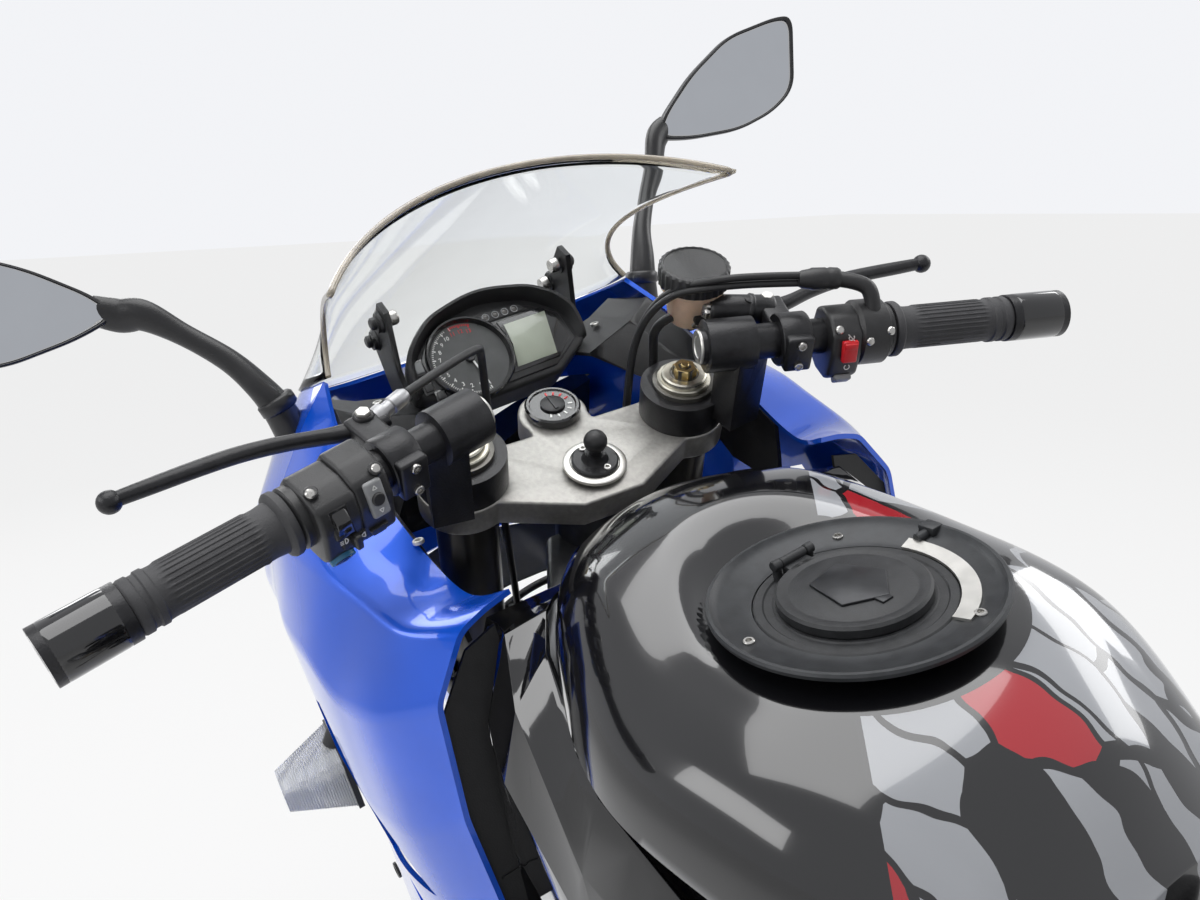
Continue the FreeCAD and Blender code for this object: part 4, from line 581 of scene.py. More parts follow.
ROUND = ring_tree()


def around(bm, name, count, radius, matrix, material, body, first=0.0, step=None):
    """Repeat a small piece, drawn about the origin in millimetres, round a circle about local z."""
    bmesh.ops.recalc_face_normals(bm, faces=bm.faces)
    made = placed(name, mesh_from(bm, name))
    change = made.modifiers.new("ring", "NODES")
    change.node_group = ROUND
    wanted = {"Count": count, "Radius": float(radius), "First angle": radians(first),
              "Angle step": 2 * pi / count if step is None else radians(step), "Material": material}
    for item in ROUND.interface.items_tree:
        if item.in_out == "INPUT" and item.name in wanted:
            change[item.identifier] = wanted[item.name]
    baked = evaluated(made)
    made.modifiers.clear()
    baked.transform(matrix)
    if matrix.determinant() < 0:
        baked.flip_normals()
    shaded(baked)
    made.data = baked
    if not baked.materials:
        baked.materials.append(material)
    return on_body(made, body, ())


def socket_screw(radius=3.6, tall=2.4):
    """A round screw head with a hexagon socket, about local z."""
    bm = bmesh.new()
    lathe(bm, [(0, 0), (radius, 0), (radius, tall - 0.5), (radius - 0.5, tall), (radius * 0.55, tall)], (0, 0, 0),
          (0, 0, 1), 24)
    lathe(bm, [(radius * 0.55, tall), (radius * 0.5, tall - 1.3), (0, tall - 1.3)], (0, 0, 0), (0, 0, 1), 6)
    return bm


screw_steel = finish("screw_steel", (0.5, 0.49, 0.47), 0.28, metal=1.0, mottle=0.1, scale=300)
RING_TOP = BIKE @ Matrix.Translation((CAP_X, 0, RING_Z + 5.2))
around(socket_screw(3.4), "ring_screws", 3, 70, RING_TOP, screw_steel, "root", -38, 120)
drawn("ring_latch", BIKE, ring_grey, "root", "ring_metal",
      (box, (CAP_X + 6, -84, RING_Z + 7), (CAP_X + 18, -74, RING_Z + 13), 1.5),
      (rod, (CAP_X + 12, -76, RING_Z + 8), (CAP_X + 12, -66, RING_Z + 8), 3.2, 0.6, 20))


# The top yoke is a cast aluminium plate with a silver speckled coat. The stem's nut carries a wide
# washer, and on it a rubber ball on a short post for a telephone holder. The lock sits ahead of it.
def eased(node, width, material, body, segments=2, sharp=38.0):
    """A CAD piece with its edges rounded over as on a casting, in the stead of the plain one."""
    bm = bmesh.new()
    bm.from_mesh(frame["nodes"][node].data)
    bmesh.ops.remove_doubles(bm, verts=bm.verts, dist=0.00002)
    bmesh.ops.dissolve_limit(bm, angle_limit=radians(1.5), verts=bm.verts, edges=bm.edges)
    made = placed(node + "_eased", mesh_from(bm, node))
    round_over = made.modifiers.new("edges", "BEVEL")
    round_over.width, round_over.segments = width / 1000, segments
    round_over.angle_limit = radians(sharp)
    round_over.use_clamp_overlap = True
    round_over.miter_outer = "MITER_ARC"
    mesh = evaluated(made)
    made.modifiers.clear()
    made.data = mesh
    shaded(mesh, sharp)
    mesh.materials.clear()
    mesh.materials.append(material)
    return on_body(made, body, [node])


yoke_coat = finish("yoke_coating", (0.37, 0.36, 0.34), 0.44, metal=0.6, mottle=0.12, scale=260, grain=0.15,
                   grain_scale=520)
eased("upper_yoke", 2.2, yoke_coat, "steering", 3)
dark_coat = finish("dark_coating", (0.02, 0.02, 0.022), 0.42, metal=0.2, mottle=0.2, scale=140, grain=0.25)
eased("lower_yoke", 2.0, dark_coat, "steering")
YOKE_TOP = 1030.0
drawn("stem_washer", STEER, bare_metal, "steering", "yoke_silver",
      (lathe, [(0, 3), (25, 3), (25.6, 3.8), (25.6, 6.2), (24.4, 7), (20.5, 7), (19.5, 6.2), (0, 6.2)],
       (0, 0, YOKE_TOP), (0, 0, 1)), nodes=["ball_mount"])
drawn("ball_foot", STEER, dark_coat, "steering", "ball_rubber",
      (lathe, [(0, 6), (18.4, 6), (19, 6.8), (19, 9), (17.8, 10), (11, 10), (9.5, 12), (8.5, 17), (0, 17)],
       (0, 0, YOKE_TOP), (0, 0, 1)))
drawn("holder_ball", STEER, black_rubber, "steering", "ball_rubber",
      (lathe, [(0, 14), (4.6, 14)] + [(9.5 * cos(radians(a)), 28 + 9.5 * sin(radians(a)))
                                      for a in range(-61, 90, 10)] + [(0, 37.5)], (0, 0, YOKE_TOP), (0, 0, 1), 40))
around(socket_screw(3.2, 2.0), "ball_foot_screws", 2, 14.6, STEER @ Matrix.Translation((0, 0, YOKE_TOP + 9.6)),
       screw_steel, "steering", 195, 180)
LOCK_U = 78.0
gloss_black = finish("gloss_black", (0.009, 0.009, 0.01), 0.16, coat=0.6, mottle=0.15, scale=30)
drawn("ignition_bezel", STEER, gloss_black, "steering", "black_metal",
      (lathe, [(0, -38), (20.6, -38), (20.6, 0.2), (23.2, 0.2), (24, 1), (24, 7.4), (22.4, 9), (20.4, 9),
               (19.4, 7.6), (0, 7.6)], (LOCK_U, 0, YOKE_TOP), (0, 0, 1)), nodes=["ignition_lock"])
drawn("key_barrel", STEER, dark_coat, "steering", "black_metal",
      (lathe, [(0, 7), (10.6, 7), (10.6, 9.4), (9.4, 10.2), (0, 10.2)], (LOCK_U, 0, YOKE_TOP), (0, 0, 1), 40),
      (box, (LOCK_U - 9, -1.6, YOKE_TOP + 9.6), (LOCK_U + 9, 1.6, YOKE_TOP + 11.4), 0.5))
white_ink = finish("white_marking", (0.75, 0.75, 0.73), 0.5, mottle=0.05)
red_ink = finish("red_marking", (0.6, 0.015, 0.02), 0.45, mottle=0.08)
for name, ink, first, count, step in (("lock_marks_white", white_ink, 150, 5, 26),
                                      ("lock_marks_red", red_ink, -75, 4, 24)):
    dash_mark = bmesh.new()
    box(dash_mark, (-1.9, -0.8, 0), (1.9, 0.8, 0.5), 0)
    around(dash_mark, name, count, 15, STEER @ Matrix.Translation((LOCK_U, 0, YOKE_TOP + 7.5)), ink, "steering",
           first, step)


# Each fork leg ends in a pale anodised cap with a gold hexagon, clamped by the yoke and by the black
# cast riser of its handlebar. Legs are dark sliders in satin tubes, with cast feet at the axle.
FORK_U, FORK_V, FORK_TOP = 32.15, 100.0, 1062.0
eased("fork_legs", 1.2, finish("fork_slider", (0.12, 0.115, 0.105), 0.3, metal=0.8, mottle=0.1), "steering")
champagne = finish("cap_anodised", (0.52, 0.5, 0.43), 0.33, metal=1.0, mottle=0.1, scale=120)
gold = finish("hexagon_gold", (0.62, 0.47, 0.22), 0.3, metal=1.0, mottle=0.1, scale=160)
fork_cap, hexagon = bmesh.new(), bmesh.new()
for side in (-1, 1):
    lathe(fork_cap, [(0, 0), (22.5, 0), (22.5, 3.4), (21.6, 4.4), (19.4, 4.4), (18.8, 7.2), (17.4, 8.2),
                     (12.5, 8.2), (11.5, 6.6), (0, 6.6)], (FORK_U, side * FORK_V, FORK_TOP), (0, 0, 1))
    lathe(hexagon, [(0, 6), (10.4, 6), (10.4, 14.2), (9.2, 15.4), (6, 15.4), (5.4, 14.2), (0, 14.2)],
          (FORK_U, side * FORK_V, FORK_TOP), (0, 0, 1), 6)
    rod(hexagon, (FORK_U, side * FORK_V, FORK_TOP + 12), (FORK_U, side * FORK_V, FORK_TOP + 17.2), 3.4, 0.6, 24)
made_of(fork_cap, "fork_caps", STEER, champagne, "steering", ())
made_of(hexagon, "fork_cap_nuts", STEER, gold, "steering", ())

# The handlebars are black steel tubes held in cast risers over the fork tubes; each has a bright
# machined plug in its inner end and a gloss black weight, necked at its root, at its outer one.
BAR_IN, BAR_OUT = Vector((1, 97, 1118)), Vector((-86, 384, 1118))
BAR_LONG = (BAR_OUT - BAR_IN).length
bar_along = (BAR_OUT - BAR_IN).normalized()
bar_axes = Matrix((bar_along, bar_along.cross(Vector((0, 0, 1))), (0, 0, 1))).transposed().to_4x4()
BAR_LEFT = STEER @ Matrix.Translation(BAR_IN) @ bar_axes
BAR_RIGHT = STEER @ MIRROR @ Matrix.Translation(BAR_IN) @ bar_axes
SIDES = {"left": BAR_LEFT, "right": BAR_RIGHT}
GRIP_START, GRIP_END, GRIP_R = 150.0, 251.5, 17.0
cast_black = finish("cast_black", (0.016, 0.016, 0.018), 0.36, metal=0.25, mottle=0.2, scale=160, grain=0.3,
                    grain_scale=600)
eased("handlebars", 1.6, cast_black, "steering", 3)
end_gloss = finish("weight_gloss", (0.006, 0.006, 0.007), 0.09, coat=0.8, mottle=0.2, scale=20)
for side, bar in SIDES.items():
    drawn(f"bar_plug_{side}", bar, bare_metal, "steering", "axle_steel",
          (lathe, [(0, -7.2), (8, -7.2), (8.6, -8), (12.8, -8), (13.6, -7), (13.6, -4), (0, -4)], (0, 0, 0),
           (1, 0, 0)))
    drawn(f"bar_weight_{side}", bar, end_gloss, "steering", "black_metal",
          (lathe, [(0, 0), (15.4, 0), (15.4, 3), (16.6, 4), (18.2, 5), (19, 7), (19.2, 9), (19.2, 41),
                   (18.6, 45), (17, 47.4), (14.6, 48), (8.6, 48), (8, 46.6), (0, 46.6)],
           (BAR_LONG - 48, 0, 0), (1, 0, 0), 72))

# The grips are dark grey rubber: a flange at the inner end, a palm of raised lengthwise ribs between
# plain bands, and two rings near the weight. They are glued on the bar.
grip_rubber = finish("grip_rubber", (0.045, 0.045, 0.048), 0.62, mottle=0.18, scale=90, grain=0.4,
                     grain_scale=1100)
RIBS, RIB_RISE = 30, 0.75
for side, bar in SIDES.items():
    grip = bmesh.new()
    stops = [(GRIP_START, 14.2), (GRIP_START, 21.4), (GRIP_START + 1.4, 22.2), (GRIP_START + 5, 22.2),
             (GRIP_START + 6.6, 21), (GRIP_START + 8, 17.8), (GRIP_START + 15, 17)]
    stops += [(GRIP_START + 15 + 2.5 * k, GRIP_R) for k in range(1, 28)]
    stops += [(235, 17.2), (236, 18.2), (240, 18.2), (241, 17.1), (244, 17.1), (245, 18.2), (249.5, 18.2),
              (GRIP_END, 17.2), (GRIP_END, 14.2)]
    rings = []
    for s, r in stops:
        ring_points = []
        for a in circle(RIBS * 6):
            palm = 1.0 if 172 < s < 228 else 0.0
            wave = RIB_RISE * (1 if sin(RIBS * a) > 0.1 else 0) * palm
            sweep = 1 if sin(a + (s - 200) * 0.012) > -0.35 else 0.25
            ring_points.append(Vector((s, (r + wave * sweep) * cos(a), (r + wave * sweep) * sin(a))))
        rings.append(ring_points)
    lofted(grip, rings, caps=False)
    made_of(grip, f"grip_{side}", bar, grip_rubber, "steering", ["grips"] if side == "left" else ())

# Two moulded switch housings in satin black plastic are clamped round the bars. The left carries the
# dimmer, a grey rocker, the indicator slide and the horn; the right the red stop switch and starter.
switch_black = finish("switch_plastic", (0.02, 0.02, 0.021), 0.38, mottle=0.15, scale=120, grain=0.35,
                      grain_scale=1300)
key_grey = finish("key_grey", (0.26, 0.265, 0.27), 0.5, mottle=0.08, scale=200, grain=0.15)
stop_red = finish("stop_red", (0.62, 0.012, 0.018), 0.4, mottle=0.08, scale=200)
horn_blue = finish("horn_edge", (0.05, 0.2, 0.36), 0.3, mottle=0.1)
left_switch = bmesh.new()
slab(left_switch, [(88, f, h) for f, h in ((-20, -30), (-26, -24), (-28, 4), (-22, 20), (-6, 26), (14, 25),
                                           (22, 14), (23, -14), (14, -28), (-4, -32))], (26, 0, 0), 3.2, 4)
slab(left_switch, [(113, f, h) for f, h in ((-22, -29), (-28, -22), (-30, 2), (-25, 18), (-9, 24), (12, 23),
                                            (20, 13), (21, -13), (12, -26), (-6, -30))], (29, 0, 0), 3.6, 4)
rod(left_switch, (138, 0, 0), (149.5, 0, 0), 21.5, 2.5, 64)
for s, f, h in ((94, -18, 20), (136, -12, 22)):
    rod(left_switch, (s, f, h), (s, f * 1.12, h * 1.2), 4.6, 0.8, 24)
made_of(left_switch, "switch_housing_left", BAR_LEFT, switch_black, "steering", ["switchgear"])


def turned(degrees, line):
    """A turn about one of a piece's own axes."""
    return Matrix.Rotation(radians(degrees), 4, line)


def on_face(bar, s, f, h, lean):
    """A place on a switch housing: local x along the bar, local z out of the face."""
    return bar @ Matrix.Translation((s, f, h)) @ turned(lean, "X")


def control(name, face, material, *steps):
    """A button, or the print on it, lying on a housing's face."""
    return drawn(name, on_face(*face), material, "steering", "switch_plastic", *steps)


control("rocker_left", (BAR_LEFT, 101, -27, 7, 72), key_grey, (box, (-6.5, -13, -2), (6.5, 13, 2.6), 2.2, 3))
control("select_left", (BAR_LEFT, 101, -27, 7, 72), switch_black,
        (lathe, [(0, 0), (4.6, 0), (4.6, 3.4), (3.8, 4.4), (0, 4.4)], (0, 0, 0), (0, 0, 1), 32))
control("dimmer_left", (BAR_LEFT, 128, -28.6, 5, 74), gloss_black,
        (box, (-7, -11, -3), (7, 11, 0.4), 1.2),
        (slab, [(-5, -9, 0), (-5, -2, 4.4), (-5, 1, 4.4), (-5, 9, 0.4)], (10, 0, 0), 0.9))
control("indicator_slide", (BAR_LEFT, 122, -29, -14, 84), switch_black,
        (box, (-9, -4, -3), (9, 4, 1.2), 1.4),
        (slab, [(-2.4, -5, 0), (2.4, -5, 0), (3, 6, 0), (-3, 6, 0)], (0, 0, 7), 1.6, 3))
control("horn_button", (BAR_LEFT, 131, -24, -26, 118), horn_blue,
        (slab, [(9 * cos(a), 5.4 * sin(a), -2) for a in circle(24)], (0, 0, 6), 1.6, 3))
control("horn_inlay", (BAR_LEFT, 131, -24, -26, 118), gloss_black,
        (slab, [(6.6 * cos(a), 3.4 * sin(a), 2) for a in circle(24)], (0, 0, 2.6), 0.8))
control("hazard_key", (BAR_LEFT, 103, -26, -19, 96), switch_black,
        (slab, [(-5, -3, -1), (5, -3, -1), (7, 3, -1), (-7, 3, -1)], (0, 0, 4), 1))


def icon(bm, points, width=0.7, lift=0.35):
    """A thin printed line through points on a face."""
    for (x0, y0), (x1, y1) in zip(points, points[1:]):
        long = hypot(x1 - x0, y1 - y0) or 1
        dx, dy = (y1 - y0) / long * width / 2, (x0 - x1) / long * width / 2
        slab(bm, [(x0 - dx, y0 - dy, 0), (x1 - dx, y1 - dy, 0), (x1 + dx, y1 + dy, 0), (x0 + dx, y0 + dy, 0)],
             (0, 0, lift), 0)


def lamp_icon(bm, x, y):
    """The common sign for a headlamp: a half round lens and three rays."""
    icon(bm, [(x + 2 * cos(a), y + 2 * sin(a)) for a in (pi / 2 + pi * k / 8 for k in range(9))])
    icon(bm, [(x, y + 2), (x, y - 2)])
    for k in (-1.2, 0, 1.2):
        icon(bm, [(x + 1.2, y + k), (x + 3.6, y + k)], 0.5)


control("signs_left", (BAR_LEFT, 119, -29.4, -2, 84), white_ink,
        (lamp_icon, 8, 8), (lamp_icon, 10, -8), (icon, [(-4, -9), (-1, -11), (-4, -13), (-4, -9)]))
marks = bmesh.new()
for tip in (1, -1):
    icon(marks, [(-1.6, tip * 7.2), (0, tip * 9.8), (1.6, tip * 7.2), (-1.6, tip * 7.2)])
made_of(marks, "rocker_marks", on_face(BAR_LEFT, 101, -27, 7, 72) @ Matrix.Translation((0, 0, 2.4)),
        white_ink, "steering", ())

drawn("switch_housing_right", BAR_RIGHT, switch_black, "steering", "switch_plastic",
      (slab, [(94, f, h) for f, h in ((-18, -30), (-25, -22), (-26, -2), (-22, 14), (-8, 23), (8, 23),
                                      (19, 15), (22, -6), (16, -26), (0, -32))], (25, 0, 0), 3.4, 4),
      (rod, (117, 0, 0), (145, 0, 0), 26, 3.5, 72), (rod, (143, 0, 0), (149.5, 0, 0), 21.5, 2, 64))
control("stop_switch", (BAR_RIGHT, 107, -26.4, 2, 78), stop_red,
        (slab, [(-6, -9, -2), (6, -9, -2), (6.4, 9, -2), (-6.4, 9, -2)], (0, 0, 5), 1.6, 3),
        (box, (-5.4, 2, 2), (5.4, 7.6, 4.6), 1.3))
control("start_button", (BAR_RIGHT, 107, -22.6, -26, 128), key_grey, (box, (-7, -5, -2), (7, 5, 3.4), 1.8, 3))
control("signs_right", (BAR_RIGHT, 107, -26.6, 1, 84), white_ink,
        (icon, [(2.2 * cos(a), 13 + 2.2 * sin(a)) for a in (pi * (0.75 + 1.5 * k / 9) for k in range(10))]),
        (icon, [(-3, 16), (3, 10)]),
        (icon, [(2.2 * cos(a), -13 + 2.2 * sin(a)) for a in (pi * (0.7 + 1.6 * k / 9) for k in range(10))]))
for name, bar, spots in (("left", BAR_LEFT, ((94, -19.6, 22.4), (137, -14, 25))),
                         ("right", BAR_RIGHT, ((99, -19, 17.6), (124, -24, 8), (141, -21, 14)))):
    screws = bmesh.new()
    for s, f, h in spots:
        lathe(screws, [(0, -3), (3.3, -3), (3.3, 1.2), (2.4, 2.2), (0, 2.4)], (s, f, h), (0, f, h), 20)
    made_of(screws, f"housing_screws_{name}", bar, screw_steel, "steering", ())

# The throttle's bent tube leaves the right housing, turns in along the bar, and ends in a rubber boot
# from which two cables run in behind the reservoir and down past the steering head.
hose("throttle_elbow", [(132, -6, 16), (132, 2, 33), (124, 10, 41), (104, 17, 41)], 6.2, BAR_RIGHT, switch_black,
     "steering")
drawn("throttle_boot", BAR_RIGHT, black_rubber, "steering", "hose_rubber",
      (lathe, [(0, 0), (7.2, 0), (8.4, 2), (8.8, 8), (8.2, 10), (8.8, 12), (8.8, 22), (8, 24), (7, 30),
               (5.6, 33), (0, 33)], (108, 17, 41), (-1, 0.1, 0), 40))
for index, lift in enumerate((-3.4, 3.4)):
    hose(f"throttle_cable_{index}", [
        (80, 20, 41 + lift), (44, 26, 40 + lift), (10, 32, 36 + lift), (-22, 50 + lift, 20), (-40, 70, -30),
        (-46, 66 + lift, -100), (-50, 52, -190)], THROTTLE_R, BAR_RIGHT, black_rubber, "steering")

# Each lever is a forged alloy blade in black, swept out and forward to a ball at its tip. It turns in
# a perch whose split clamp is closed round the bar by two bright screws; the clutch has a cable adjuster.
BLADE = [(50, 42, 8, 5.6), (64, 43, 9, 6.4), (84, 50, 8.4, 6.2), (112, 65, 7.6, 6), (140, 76, 7.4, 5.8),
         (168, 82.5, 7, 5.6), (198, 87.5, 6.2, 5.6), (216, 90.4, 5.4, 5.4), (222, 91, 5, 5)]
CLAMP_AT, CLAMP_LONG = 56.0, 24.0


def bolt(name, matrix, material=screw_steel, body="steering", radius=3.6, tall=2.6):
    """A single socket screw standing on local z."""
    return made_of(socket_screw(radius, tall), name, matrix, material, body, ())


for side, bar in SIDES.items():
    lever = bmesh.new()
    rings = []
    for s, f, wide, tall in curve_through(BLADE, 6):
        rings.append([Vector((s + 0.45 * wide * cos(a), f + wide * cos(a), tall * sin(a))) for a in circle(20)])
    lofted(lever, rings)
    lathe(lever, [(0, -8)] + [(8 * cos(radians(a)), 8 * sin(radians(a))) for a in range(-70, 80, 14)]
          + [(0, 8)], (222, 91, 0), (0, 0, 1), 32)
    rod(lever, (62, 44, -11), (62, 44, 11), 7.5, 1.2, 32)
    lathe(lever, [(14.3, 0), (20, 0), (21, 1.2), (21, CLAMP_LONG - 1.2), (20, CLAMP_LONG), (14.3, CLAMP_LONG),
                  (14.3, 0)], (CLAMP_AT, 0, 0), (1, 0, 0))
    box(lever, (CLAMP_AT + 1, -24, -15), (CLAMP_AT + CLAMP_LONG - 1, -14, 15), 2.4, 3)
    box(lever, (CLAMP_AT - 2, 10, -9), (CLAMP_AT + CLAMP_LONG - 4, 50, 9), 3, 3)
    if side == "right":
        rod(lever, (68, 40, 0), (14, 46, 2), 13, 2.6, 48)
        rod(lever, (50, 42, 0), (44, 43, 1), 14.2, 1.6, 48)
    made_of(lever, f"lever_{side}", bar, cast_black, "steering",
            ["clutch_lever" if side == "left" else "brake_lever"], sharp=45)
    for lift in (-9.5, 9.5):
        bolt(f"clamp_bolt_{side}_{'low' if lift < 0 else 'high'}",
             bar @ Matrix.Translation((CLAMP_AT + 12, -23.6, lift)) @ turned(90, "X"))
    drawn(f"lever_pivot_{side}", bar, bare_metal, "steering", "axle_steel",
          (lathe, [(0, 0), (5.6, 0), (5.6, 2), (4.8, 3), (0, 3)], (62, 44, 10.6), (0, 0, 1), 6))
pale_alloy = finish("pale_alloy", (0.4, 0.4, 0.41), 0.42, metal=0.8, mottle=0.15, scale=160, grain=0.2)
drawn("clutch_adjuster", BAR_LEFT, pale_alloy, "steering", "black_metal",
      (lathe, [(0, 0), (5.2, 0), (5.2, 6), (7.6, 6.6), (7.6, 15), (5.4, 16), (5.4, 22), (6.4, 23), (6.4, 34),
               (4.4, 38), (0, 38)], (60, 44, 0), (-0.981, 0.155, 0.103), 24))
drawn("hose_banjo", BAR_RIGHT, screw_steel, "steering", "axle_steel",
      (rod, (20, 45, 2), (10, 46.4, 2.2), 8.4, 1.4, 6), (rod, (14, 46, -6), (14, 46, 10), 6.6, 1.2, 32))

# The brake fluid reservoir is a tapered cup of translucent plastic, yellowed by its fluid, with a
# ribbed black screw cap, and a bolt and an arm that hold it to the master cylinder.
CUP = Vector((5, 66, -20))
fluid_amber = finish("fluid_plastic", (0.86, 0.6, 0.44), 0.32, coat=0.2, mottle=0.18, scale=60)


def tuned(material, values):
    """Set further inputs of a finish's shader."""
    for name, value in values.items():
        material.node_tree.nodes["Principled BSDF"].inputs[name].default_value = value


tuned(fluid_amber, {"Transmission Weight": 0.25, "Subsurface Weight": 0.35, "Subsurface Scale": 0.5,
                    "Subsurface Radius": (0.02, 0.008, 0.004)})
drawn("fluid_cup", BAR_RIGHT, fluid_amber, "steering", "reservoir_plastic",
      (lathe, [(0, 0), (14, 0), (16.5, 1.6), (19, 8), (23.4, 33), (27, 34), (27.4, 38), (0, 38)], CUP,
       (0, 0, 1), 72),
      (rod, CUP + Vector((0, 0, 8)), CUP + Vector((20, -18, 6)), 5, 1, 28), nodes=["brake_reservoir"])
RIBBED = 28


def ring_of(radius, steps, wave=0.0, count=1):
    """A round outline, waved where asked."""
    return [((radius + wave * cos(count * a)) * cos(a), (radius + wave * cos(count * a)) * sin(a))
            for a in circle(steps)]


cap = bmesh.new()
rings = []
for r, z, wave in ((28.2, 37.4, 0), (28.8, 38, 0.6), (28.8, 52.6, 0.6), (27.6, 54, 0.3), (25.6, 54.6, 0),
                   (25, 53.6, 0)):
    rings.append([CUP + Vector((x, y, z)) for x, y in ring_of(r, RIBBED * 6, wave, RIBBED)])
lofted(cap, rings)
made_of(cap, "reservoir_cap", BAR_RIGHT, switch_black, "steering", ())
drawn("reservoir_arm", BAR_RIGHT, cast_black, "steering", "black_metal",
      (box, (2, 40, -9), (60, 60, -2), 2),
      (rod, CUP + Vector((-2, -8, 4)), CUP + Vector((-2, -16, 4)), 4.6, 0.8, 24))
bolt("reservoir_bolt", BAR_RIGHT @ Matrix.Translation(CUP + Vector((0, -17.5, 8))) @ turned(98, "X"))
hose("fluid_hose", [(24, 50, -14), (34, 44, -6), (44, 40, 6), (46, 40, 13)], 4.6, BAR_RIGHT, black_rubber,
     "steering")

# The dash is one moulded housing under an arched visor, bolted to the nose's bracket: a round rev
# counter with numbers, a liquid crystal panel, four warning lamps and a column of two buttons.
face_at, face_up = Vector((1252, 0, 1019)), Vector((0.58, 0, 0.81)).normalized()
face_axes = Matrix(((0, -1, 0), face_up, Vector((0, -1, 0)).cross(face_up))).transposed().to_4x4()
DASH = BIKE @ Matrix.Translation(face_at) @ face_axes
DASH_EDGE = [(-84, -16), (-46, -38), (46, -38), (84, -16), (80, 18), (52, 42), (0, 54), (-52, 42), (-80, 18)]


def dash_piece(name, material, *steps, sharp=35.0):
    """A part of the dash, drawn in its own axes."""
    return drawn(name, DASH, material, "root", "dash_plastic", *steps, sharp=sharp)


dash_black = finish("dash_plastic", (0.014, 0.014, 0.015), 0.5, mottle=0.15, scale=90, grain=0.4,
                    grain_scale=1200)
panel_black = finish("dash_panel", (0.02, 0.02, 0.021), 0.3, coat=0.3, mottle=0.12, scale=60)
drawn("dash_housing", DASH, dash_black, "root", "dash_plastic",
      (slab, [(a, b, -38) for a, b in DASH_EDGE], (0, 0, 38.6), 5, 4), nodes=["dash"], sharp=50)
visor = bmesh.new()
ARCH = [(-85, -14), (-82, 16), (-56, 41), (-28, 51), (0, 55), (28, 51), (56, 41), (82, 16), (85, -14)]
arch = curve_through(ARCH, 10)
rings = []
for index, (a, b) in enumerate(arch):
    t = index / (len(arch) - 1)
    rise = 16 * min(1.0, 5 * min(t, 1 - t)) ** 0.7 + 1.5
    rings.append([(a * k, (b + 14) * k - 14, lift)
                  for k, lift in ((1.0, -8), (1.012, rise - 2), (1.0, rise), (0.965, rise), (0.95, rise - 2),
                                  (0.90, 0.4))])
lofted(visor, rings)
made_of(visor, "dash_visor", DASH, dash_black, "root", (), sharp=50)
dash_piece("dash_panel_face", panel_black,
           (slab, [(a, b, 0.2) for a, b in ((-72, -14), (-48, -31), (44, -31), (73, -13), (70, 16), (47, 32),
                                            (10, 38), (-30, 40), (-58, 30), (-70, 14))], (0, 0, 2.2), 1.4, 3))
DIAL = Vector((-28, 2, 2.6))
dial_grey = finish("dial_face", (0.06, 0.062, 0.062), 0.4, mottle=0.15, scale=80)
dash_piece("dial_bezel", gloss_black,
           (lathe, [(34.6, 0), (39.4, 0), (39.4, 4.4), (38.4, 5.6), (36.8, 5.6), (34.8, 1.4), (34.6, 0)],
            DIAL, (0, 0, 1), 96))
dash_piece("dial_plate", dial_grey,
           (lathe, [(0, -0.4), (34.8, -0.4), (34.8, 0.8), (0, 0.8)], DIAL, (0, 0, 1), 96))
FIRST, STEP = -80.0, -16.4
spin = DASH @ Matrix.Translation(DIAL + Vector((0, 0, 0.8)))
for name, count, step, size, ink, first in (
        ("dial_marks", 12, STEP, (3.2, 0.55), white_ink, FIRST),
        ("dial_small_marks", 53, STEP / 5, (1.7, 0.28), white_ink, FIRST),
        ("dial_red_marks", 3, STEP, (3.2, 0.7), red_ink, FIRST + 11 * STEP),
        ("dial_red_small", 11, STEP / 5, (1.9, 0.5), red_ink, FIRST + 11 * STEP)):
    tick = bmesh.new()
    box(tick, (-size[0], -size[1], 0), (0, size[1], 0.3), 0)
    around(tick, name, count, 33.4, spin, ink, "root", first, step)


def flat_mesh(name, line):
    """A flat curve or a text as a drawn mesh, still in its own place."""
    made = placed(name, line)
    mesh = evaluated(made)
    bpy.data.objects.remove(made)
    bm = bmesh.new()
    bm.from_mesh(mesh)
    return bm


def numeral(text, size, matrix, material, name):
    """A printed number as a thin flat mesh centred on local z."""
    line = bpy.data.curves.new(name, "FONT")
    line.body, line.size, line.extrude = text, size, 0.12
    line.align_x = line.align_y = "CENTER"
    line.resolution_u = 3
    return made_of(flat_mesh(name, line), name, matrix, material, "root", ())


for number in range(14):
    a = radians(FIRST + number * STEP)
    numeral(str(number), 5.4, spin @ Matrix.Translation((26.4 * cos(a), 26.4 * sin(a), 0.2)),
            red_ink if number > 10 else white_ink, f"dial_number_{number}")
numeral("x1000", 3.4, spin @ Matrix.Translation((11, 3.6, 0.2)), white_ink, "dial_unit")
needle = bmesh.new()
a = radians(FIRST)
along, aside = Vector((cos(a), sin(a), 0)), Vector((-sin(a), cos(a), 0))
slab(needle, [DIAL + p + Vector((0, 0, 2.6)) for p in (along * -7 - aside * 1.1, along * 30 - aside * 0.35,
                                                      along * 30 + aside * 0.35, along * -7 + aside * 1.1)],
     (0, 0, 0.8), 0.2)
made_of(needle, "dial_needle", DASH, white_ink, "root", ())
dash_piece("dial_hub", switch_black,
           (lathe, [(0, 0.8), (4.4, 0.8), (4.4, 3.6), (3.4, 4.4), (0, 4.4)], DIAL, (0, 0, 1), 40))
crystal = finish("liquid_crystal", (0.33, 0.36, 0.29), 0.22, coat=0.5, mottle=0.1, scale=12)
dash_piece("panel_rim", gloss_black,
           (slab, [(1, -25, 2), (50, -25, 2), (68, -11, 2), (66, 14, 2), (56, 26, 2), (10, 26, 2),
                   (13, 12, 2), (14, -12, 2)], (0, 0, 1.4), 0.9, 3))
